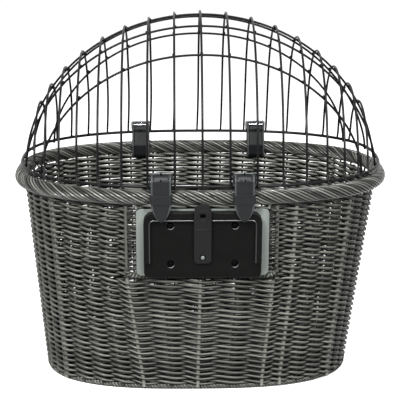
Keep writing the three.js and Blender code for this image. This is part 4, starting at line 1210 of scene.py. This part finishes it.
class Belt:
    """A strap's place on the rim and its line, in millimetres outward and up."""

    def __init__(self, centre, crest, front):
        self.centre, self.front = centre, front
        near, far = abs(centre) - STRAP_HALF, abs(centre) + STRAP_HALF
        wire = float(dome_reach(centre, 0))
        swing = max(float(dome_reach(near, 0)) - wire, wire - float(dome_reach(far, 0)))
        self.chape = rim_depth(near) + RIM_RADIUS + CHAPE_CLEAR + HALF_THICK
        self.inner = rim_depth(far) - RIM_RADIUS - CLEAR - HALF_THICK
        self.heel, self.heel_level = self.chape - FOLD, crest - HEEL_DROP
        self.bend = (self.heel - HEEL_BACK, self.heel_level + HEEL_UP)
        self.wire = wire - swing - BASE_WIRE_RADIUS - CLEAR - HALF_THICK
        self.wire_level = grille_level(-wire if front else wire)
        self.crest = crest - HALF_THICK
        self.line, walked = resample(self.corners(), 1.0)
        self.away = walked[-1] - walked
        ahead = np.gradient(self.line, axis=0)
        ahead /= np.linalg.norm(ahead, axis=1)[:, None]
        self.face = np.stack([-ahead[:, 1], ahead[:, 0]], axis=1)

    def corners(self):
        under = RIM_TOP - 2 * RIM_RADIUS - CLEAR - HALF_THICK + RIM_BEND
        top = (self.wire + CREST_BEND, self.crest - CREST_BEND)
        run = np.subtract(self.bend, top)
        slope = math.atan2(run[1], run[0]) + math.asin((HEEL_BEND - CREST_BEND) / math.hypot(*run))
        tangent = 90 + math.degrees(slope)
        return [
            (self.heel - FOLD, self.heel_level - FOLD_TAIL),
            *bend(self.heel, self.heel_level, FOLD, 180, 0, 10),
            *bend(self.chape - RIM_BEND, under, RIM_BEND, 0, -90, 8),
            *bend(self.inner + RIM_BEND, under, RIM_BEND, -90, -180, 8),
            (self.inner, INNER_TOP),
            (self.wire, min(self.wire_level, top[1] - CLEAR)),
            *bend(*top, CREST_BEND, 180, tangent, 8),
            *bend(*self.bend, HEEL_BEND, tangent, 0, 12),
            (self.heel + TIP_OUT, TIP_LEVEL),
        ]

    def place(self, x, out, up):
        return ((self.centre + x) * MM, (-out if self.front else out) * MM + SHIFT, up * MM)


belts = {
    "front_left": Belt(-49.501, 278.0, True),
    "front_right": Belt(49.501, 278.0, True),
    "rear_left": Belt(-81.257, 283.5, False),
    "rear_right": Belt(81.257, 283.5, False),
}
print("belts:", [round(float(belt.away[0]), 1) for belt in belts.values()], "mm long")

# %% [markdown]
# Along the raised edges of a belt's face a paler tone is painted in, as a painted highlight. The loft
# stores where the edges are, and the finish mixes it in there. The rear belts get a copy of the leather
# that shines a little less, as painted shade.

# %% Belt finish
EDGE_HIGHLIGHT_TONE = (0.04, 0.0435, 0.046, 1)


def belt_finish(name, plain):
    material = plain.copy()
    material.name = name
    tree = material.node_tree
    skin = next(node for node in tree.nodes if node.type == "BSDF_PRINCIPLED")
    tone = next(node for node in tree.nodes if node.type == "GROUP" and node.node_tree == mottle)
    edge = add_node(tree, "ShaderNodeAttribute", {"attribute_name": "belt_edge_highlight"})
    highlighted = add_node(tree, "ShaderNodeMix", {"data_type": "RGBA"}, {7: EDGE_HIGHLIGHT_TONE})
    join(
        tree,
        (edge, "Fac", highlighted, "Factor"),
        (tone, "Color", highlighted, 6),
        (highlighted, 2, skin, "Base Color"),
    )
    return material


belt_leather = belt_finish("belt_leather", soft_leather)
shaded_leather = belt_finish("shaded_leather", rear_shade_leather)
print("finishes:", belt_leather.name, shaded_leather.name)

# %% [markdown]
# Belts, keepers, punches and bolts are all skins over a row of rings, so one function makes them.
# Its faces are turned outwards, and edges sharper than a given angle stay crisp.

# %% Loft
def add_skin(shape, rings, closed=False):
    """A skin over rings of places, with its two ends filled unless the last ring meets the first."""
    rings = [[shape.verts.new(place) for place in ring] for ring in rings]
    pairs = [*zip(rings, rings[1:]), *([(rings[-1], rings[0])] if closed else [])]
    for low, high in pairs:
        for j, k in zip(range(len(low)), [*range(1, len(low)), 0]):
            shape.faces.new((low[j], low[k], high[k], high[j]))
    if not closed:
        shape.faces.new(rings[0][::-1])
        shape.faces.new(rings[-1])


def from_shape(shape, name):
    mesh = bpy.data.meshes.new(name)
    shape.to_mesh(mesh)
    shape.free()
    return new_object(name, mesh)


def outward(shape, name):
    """The shape as an object, with its faces turned outwards."""
    bmesh.ops.recalc_face_normals(shape, faces=shape.faces)
    return from_shape(shape, name)


def smooth_faces(mesh, angle):
    mesh.polygons.foreach_set("use_smooth", [True] * len(mesh.polygons))
    mesh.set_sharp_from_angle(angle=math.radians(angle))


def lofted(name, rings, material, closed=False):
    shape = bmesh.new()
    add_skin(shape, rings, closed)
    made = outward(shape, name)
    made.data.materials.append(material)
    smooth_faces(made.data, 50)
    return made


def cut_out(made, cutter):
    """Takes the cutter's shape out of a piece."""
    cut = made.modifiers.new("cut", "BOOLEAN")
    cut.object = cutter
    cut.operation = "DIFFERENCE"
    cut.solver = "EXACT"
    flatten(made)
    bpy.data.objects.remove(cutter)


print("lofts ready")

# %% [markdown]
# A belt's ring is its section: flat at the back, padded in front, with a sewing groove near each
# edge. It is drawn for one half and mirrored. Towards the tip it narrows to a rounded point.

# %% Belt section
HALF_SECTION = [
    (-1, 0.1), (-0.985, 0.62), (-0.94, 0.92), (-0.87, 1.05), (-0.8, 0.9), (-0.755, 0.45), (-0.71, 0.85),
    (-0.62, 1.02), (-0.3, 1.1),
]
HALF_BACK = [(0.985, -0.7), (0.95, -0.95), (0.5, -1)]
SECTION = [
    *HALF_SECTION, (0, 1.12), *[(-x, h) for x, h in HALF_SECTION[::-1]],
    *HALF_BACK, *[(-x, h) for x, h in HALF_BACK[::-1]],
]
TIP_LENGTH = 23.0


def tip_width(away):
    share = np.clip(away / TIP_LENGTH, 0, 1)
    return STRAP_HALF * (1 - (1 - share) ** 1.9) ** 0.72


def belt_piece(name, belt):
    rings = []
    for (out, up), (n_out, n_up), gap in zip(belt.line, belt.face, belt.away):
        half = max(float(tip_width(gap)), 0.25)
        rings.append([belt.place(s * half, out + n_out * h, up + n_up * h) for s, h in SECTION])
    made = lofted(name, rings, belt_leather if belt.front else shaded_leather)
    # Painted highlight along the raised edges of the belt's face.
    edge = [1.0 if abs(s) > 0.8 and h > 0 else 0.0 for s, h in SECTION]
    made.data.attributes.new("belt_edge_highlight", "FLOAT", "POINT").data.foreach_set("value", edge * len(rings))
    return made


belt_pieces = {name: belt_piece(name + "_belt", belt) for name, belt in belts.items()}
print("sections:", [len(made.data.vertices) // len(SECTION) for made in belt_pieces.values()])

# %% [markdown]
# Seen from the front the rear buckles show only as bright bars across their belts, with the tip of
# the prong over the middle. The padded leather hides the solids there, so thin rods lie over it.

# %% Bars of the rear buckles
bars = []
for name in ("rear_left", "rear_right"):
    belt = belts[name]
    out, up = belt.wire + 2.8, belt.crest + 1.7
    bars.append({"points": [belt.place(x, out, up) for x in (-9.6, -3.2, 3.2, 9.6)]})
    tip = [belt.place(0.8, out + way, up + rise) for way, rise in ((3, 0.4), (0, 1.6), (-1, 2.6))]
    bars.append({"points": tip, "swell": [0.7, 0.7, 0.4]})
swept("buckle_bars", bars, 1.7 * MM, 8, bright_plate, slot="bright_steel")

# %% [markdown]
# Every belt has punched holes: one on the bend over the buckle and two inside. A boolean cut makes
# them real holes with clean edges.

# %% Punched holes
HOLE_RADIUS, HOLE_SIDES, HOLE_PITCH = 1.35, 14, 12.7
PUNCH_ENDS = (-1.25, 1.6)


def punch(name, belt, made):
    spots = [(belt.bend, HEEL_BEND, 24)]
    spots += [((belt.wire + 1, belt.crest - 6 - HOLE_PITCH * i), -1.0, 0) for i in (0, 1)]
    turns = np.linspace(0, 2 * math.pi, HOLE_SIDES + 1)[:-1]
    tool = bmesh.new()
    for (out, up), reach, tilt in spots:
        c, s = math.cos(math.radians(tilt)), math.sin(math.radians(tilt))
        rings = []
        for way in PUNCH_ENDS:
            way += reach
            ring = [(HOLE_RADIUS * math.cos(t), HOLE_RADIUS * math.sin(t)) for t in turns]
            rings.append([
                belt.place(x, out + c * way - s * lift, up + s * way + c * lift) for x, lift in ring
            ])
        add_skin(tool, rings)
    cut_out(made, outward(tool, name + "_punch"))


for name, made in belt_pieces.items():
    punch(name, belts[name], made)
    settle(made, "basket", "leather", name + "_strap")

# %% [markdown]
# ## Stitches
# A thread runs in the groove along both edges and round the tip. Each stitch is a short rod, laid
# by a tree at even steps along a guide line and turned to follow it.

# %% Stitches
SEAM_START, SEAM_STOP, SEAM_INSET, SEAM_LIFT = 5, 66, 2.9, 0.6


def stitch_tree():
    sizes = [
        ("Spacing", "NodeSocketFloat", 0.004),
        ("Stitch length", "NodeSocketFloat", 0.0026),
        ("Thread", "NodeSocketFloat", 0.0007),
    ]
    tree, start, end = geometry_tree("stitches", sizes)
    to_curve = add_node(tree, "GeometryNodeMeshToCurve")
    spots = add_node(tree, "GeometryNodeCurveToPoints", {"mode": "LENGTH"})
    turn = add_node(tree, "FunctionNodeAlignRotationToVector", {"axis": "Z"})
    half = math_node(tree, "MULTIPLY", 0.5)
    rod = add_node(tree, "GeometryNodeMeshCylinder", None, {"Vertices": 6})
    place = add_node(tree, "GeometryNodeInstanceOnPoints")
    chain(tree, start, to_curve, spots, place)
    join(
        tree,
        (start, "Spacing", spots, "Length"),
        (spots, "Tangent", turn, "Vector"),
        (start, "Thread", half, 0),
        (half, 0, rod, "Radius"),
        (start, "Stitch length", rod, "Depth"),
        (rod, "Mesh", place, "Instance"),
        (turn, "Rotation", place, "Rotation"),
    )
    end_tree(tree, place, start, end)
    return tree


def seam(belt):
    """A line down one edge of a belt, round its tip and up the other edge."""
    sewn = [i for i, away in enumerate(belt.away) if SEAM_START < away < SEAM_STOP]
    path = []
    for side, order in ((-1, sewn), (1, sewn[::-1])):
        for i in order:
            half = float(tip_width(belt.away[i])) - SEAM_INSET
            if half > 0.8:
                path.append(belt.place(side * half, *(belt.line[i] + belt.face[i] * SEAM_LIFT)))
    return path


stitches = stitch_tree()
for name, belt in belts.items():
    made = grow(name + "_stitches", [{"points": seam(belt)}], stitches, {"Material": sewing_thread})
    settle(made, "basket", "leather")

# %% [markdown]
# ## Keepers
# The keeper is a narrow leather loop that holds the belt's end down. It is a rounded band, closed
# round the strap.

# %% Keepers
KEEPER_LEVEL, KEEPER_HALF, KEEPER_CORNER, KEEPER_BEND = 252.4, 12.4, 1.6, 2.1
HALF_BAND = [(-0.45, -5.4), (0.35, -5.7), (0.62, -5.1), (0.7, -3.8)]
BAND = [*HALF_BAND, (0.82, 0), *[(out, -up) for out, up in HALF_BAND[::-1]], (-0.6, 0)]


def keeper(name, belt):
    side = KEEPER_HALF - KEEPER_CORNER
    back, face = belt.chape - 1.5 + KEEPER_CORNER, belt.heel + TIP_OUT + 1.4 - KEEPER_CORNER
    corners = ((side, back, -90), (side, face, 0), (-side, face, 90), (-side, back, 180))
    path = np.array([p for x, y, a in corners for p in bend(x, y, KEEPER_BEND, a, a + 90, 5)])
    ahead = np.roll(path, -1, axis=0) - np.roll(path, 1, axis=0)
    ahead /= np.linalg.norm(ahead, axis=1)[:, None]
    rings = []
    for (x, y), (ax, ay) in zip(path, ahead):
        rings.append([belt.place(x + ay * out, y - ax * out, KEEPER_LEVEL + up) for out, up in BAND])
    return lofted(name, rings, soft_leather, True)


for name, belt in belts.items():
    settle(keeper(name + "_band", belt), "basket", "leather", name + "_strap_keeper")

# %% [markdown]
# ## Mount
# The plates and the lever are moulded or pressed: their edges are never sharp. A merged copy of
# each CAD solid gets a small bevel. On the two plates the bevel gets a paler finish, a painted
# highlight along the edges; the lever's bevel keeps the lever's own finish.

# %% Rounded copies
def rounded_copy(node, name, width, segments, material, edge, slot, body="basket"):
    shape = bmesh.new()
    shape.from_mesh(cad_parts[node].data)
    bmesh.ops.remove_doubles(shape, verts=shape.verts, dist=1e-5)
    bmesh.ops.dissolve_limit(shape, angle_limit=math.radians(1), verts=shape.verts, edges=shape.edges)
    for face in shape.faces:
        face.material_index = 0
    made = from_shape(shape, name)
    made.data.materials.append(material)
    made.data.materials.append(edge)
    bevel = made.modifiers.new("edge", "BEVEL")
    bevel.width = width
    bevel.segments = segments
    bevel.limit_method = "ANGLE"
    bevel.angle_limit = math.radians(32)
    bevel.material = 1
    flatten(made)
    smooth_faces(made.data, 35)
    return settle(made, body, slot, node)


# Paler finishes for the bevels: painted highlights along the edges of the click plate and the steel plate.
edge_highlight_finish = finish(
    "edge_highlight_finish", (0.05, 0.051, 0.05), (0.085, 0.087, 0.085), 90, (0.26, 0.1),
    (900, 0.3), 0.05, shine(0.5),
)
lever_skin = finish(
    "lever_skin", (0.005, 0.005, 0.005), (0.0085, 0.0086, 0.0084), 90, (0.4, 0.1),
    (900, 0.3), 0.05, shine(0.1),
)
sheet_edge_highlight = finish(
    "sheet_edge_highlight", (0.2, 0.223, 0.208), (0.26, 0.288, 0.268), 60, (0.36, 0.1),
    (500, 0.25), 0.05, shine(0.5),
)
rounded_copy("click_plate", "click_mount", 0.9 * MM, 3, moulded_plastic, edge_highlight_finish, "plastic")
rounded_copy("release_lever", "lever_tongue", 0.4 * MM, 3, lever_skin, lever_skin, "plastic", "lever")
rounded_copy("reinforcement_plate", "mount_sheet", 0.35 * MM, 2, painted_sheet, sheet_edge_highlight, "plate_steel")

# %% [markdown]
# The rails and the top band have a rounded lip along their inner edge, where the adapter hooks in.
# The top band's lip gets a pale finish, a painted highlight that shows as a bright line under the top
# band, and the rails' lips a fainter painted highlight.

# %% Lips of the rails
RAIL_EDGE, BAND_EDGE, LIP_OUT = 64.0, 74.0, 12.1
LIP_BEND, BAND_START = 5.0, 11.6
RAIL_LEVELS = (66.0, 50.0, 34.0, 20.0)
highlight_lip = finish(
    "highlight_lip", (0.1, 0.102, 0.1), (0.16, 0.163, 0.16), 120, (0.2, 0.1),
    (900, 0.2), 0.03, shine(0.6),
)
faint_highlight_lip = finish(
    "faint_highlight_lip", (0.008, 0.0082, 0.008), (0.014, 0.0143, 0.014), 120, (0.35, 0.1),
    (900, 0.2), 0.03, shine(0.3),
)
band_lips, rail_lips = [], []
corner = bend(RAIL_EDGE - LIP_BEND, BAND_EDGE - LIP_BEND, LIP_BEND, 90, 0, 6)
band = [(BAND_START, BAND_EDGE), (58.0, BAND_EDGE), *corner[:4]]
rail = [*corner[3:], *[(RAIL_EDGE, up) for up in RAIL_LEVELS]]
for side in (-1, 1):
    band_lips.append({"points": [mount_place(side * x, LIP_OUT, up) for x, up in band]})
    rail_lips.append({"points": [mount_place(side * x, LIP_OUT, up) for x, up in rail]})
swept("band_lips", band_lips, 1.1 * MM, 8, highlight_lip, slot="plastic")
swept("rail_lips", rail_lips, 1.8 * MM, 8, faint_highlight_lip, slot="plastic")

# %% [markdown]
# A thin bright crescent on the lower side of each bolt's well is a painted highlight, where the rim of the
# well would catch the light.

# %% Lips of the bolt wells
BOLT_SIDES = {"left": -38.75, "right": 38.75}
BOLT_ROWS = {"lower": 16.8, "upper": 65.8}
WELL_RADIUS, WELL_OUT = 4.3, 7.3
crescent = bend(0, 0, WELL_RADIUS, 235, 350, 11)
crescent_swell = list(0.35 + 0.9 * np.sin(np.linspace(0, math.pi, len(crescent))))
well_lips = [
    {"points": [mount_place(x + dx, WELL_OUT, up + rise) for dx, rise in crescent], "swell": crescent_swell}
    for x in BOLT_SIDES.values() for up in BOLT_ROWS.values()
]
swept("well_lips", well_lips, 0.9 * MM, 6, highlight_lip, slot="plastic")

# %% [markdown]
# The four bolts lie deep in their wells and are given an almost black metal, painted shade for the
# dark of the wells, so only their cross recesses and domed heads glint. Each is turned from a profile
# and cut with two crossed bars. The lever's bolt is measured from its solid, because the lever holds
# it at another height.

# %% Bolt heads
HEAD_STEPS = 32
HEAD_PROFILE = ((1, 0.05), (1, 0.45), (0.93, 0.72), (0.75, 0.92), (0.45, 1.0))
SLOT_SHAPES = ((0.13, 0.56), (0.56, 0.13))
BOLT = {"seat": 4.1, "head": 3.5, "rise": 1.9, "shank": 2.3, "reach": 11.0}


def cross_bolt(name, x, up, sizes, material, node):
    seat, head, rise = sizes["seat"], sizes["head"], sizes["rise"]

    def ring(radius_x, radius_up, out, steps):
        return [mount_place(x + radius_x * a, out, up + radius_up * b) for a, b in steps]

    circle = bend(0, 0, 1, 0, 360, HEAD_STEPS)[:-1]
    square = ((-1, -1), (1, -1), (1, 1), (-1, 1))
    profile = [(sizes["shank"], seat - sizes["reach"]), (sizes["shank"], seat + 0.05 * rise)]
    profile += [(head * c, seat + rise * h) for c, h in HEAD_PROFILE]
    shape = bmesh.new()
    add_skin(shape, [ring(radius, radius, out, circle) for radius, out in profile])
    made = outward(shape, name)
    for wide, tall in SLOT_SHAPES:
        bar = bmesh.new()
        add_skin(bar, [ring(head * wide, head * tall, seat + rise * h, square) for h in (0.3, 1.3)])
        cut_out(made, outward(bar, name + "_cut"))
    made.data.materials.clear()
    made.data.materials.append(material)
    smooth_faces(made.data, 35)
    return settle(made, "basket", "bright_steel", node)


for side, x in BOLT_SIDES.items():
    for row, up in BOLT_ROWS.items():
        cross_bolt(f"bolt_{row}_{side}", x, up, BOLT, dark_bolt, f"plate_screw_{row}_{side}")

spots = np.array([vertex.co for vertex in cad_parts["lever_screw"].data.vertices])
down, rise = -(spots[:, 1] + MOUNT_DEPTH - SHIFT) / MM, (spots[:, 2] - MOUNT_LEVEL) / MM
screw_out = down * math.cos(WALL_LEAN) - rise * math.sin(WALL_LEAN)
screw_up = down * math.sin(WALL_LEAN) + rise * math.cos(WALL_LEAN)
screw_seat = float(screw_out.max()) - 1.2
screw_reach = screw_seat - float(screw_out.min())
LEVER_BOLT = {"seat": screw_seat, "head": 2.4, "rise": 1.2, "shank": 1.3, "reach": screw_reach}
lever_bolt = finish(
    "lever_bolt", (0.1, 0.11, 0.108), (0.26, 0.28, 0.27), 600, (0.34, 0.12),
    (700, 0.3), 0.05, METAL,
)
screw_level = float(screw_up.min() + screw_up.max()) / 2
cross_bolt("lever_bolt", 0, screw_level, LEVER_BOLT, lever_bolt, "lever_screw")

# %% [markdown]
# At its two upper corners the steel plate is bent back over the rim's core. Two short painted rods
# make these rounded tabs.

# %% Plate tabs
TAB_LINE = [(79.5, -2.2, 84), (80.5, -3.0, 88), (81.2, -4.2, 91.5), (80.5, -5.4, 94)]
tabs = [{"points": [mount_place(side * x, out, up) for x, out, up in TAB_LINE]} for side in (-1, 1)]
swept("sheet_tabs", tabs, 3.0 * MM, 8, painted_sheet, slot="plate_steel")

# %% [markdown]
# ## The solids that stay
# Nuts, buckle frames and prongs are fine enough as they are. They only get a finish, set on the
# object, so their meshes aren't changed.

# %% Finishes of the CAD nodes that stay
def dress(node, material):
    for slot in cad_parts[node].material_slots:
        slot.link = "OBJECT"
        slot.material = material


kept = {}
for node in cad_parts:
    # The front buckles and prongs get dark metal and the rear buckles bright metal, though they are the same
    # steel: the dark metal is painted shade.
    if "buckle" in node:
        kept[node] = shaded_buckle_metal if node.startswith("front") else bright_plate
    if node.startswith("plate_nut") or (node.startswith("front") and node.endswith("prong")):
        kept[node] = dark_bolt
for node, material in kept.items():
    dress(node, material)
print("dressed:", list(kept))
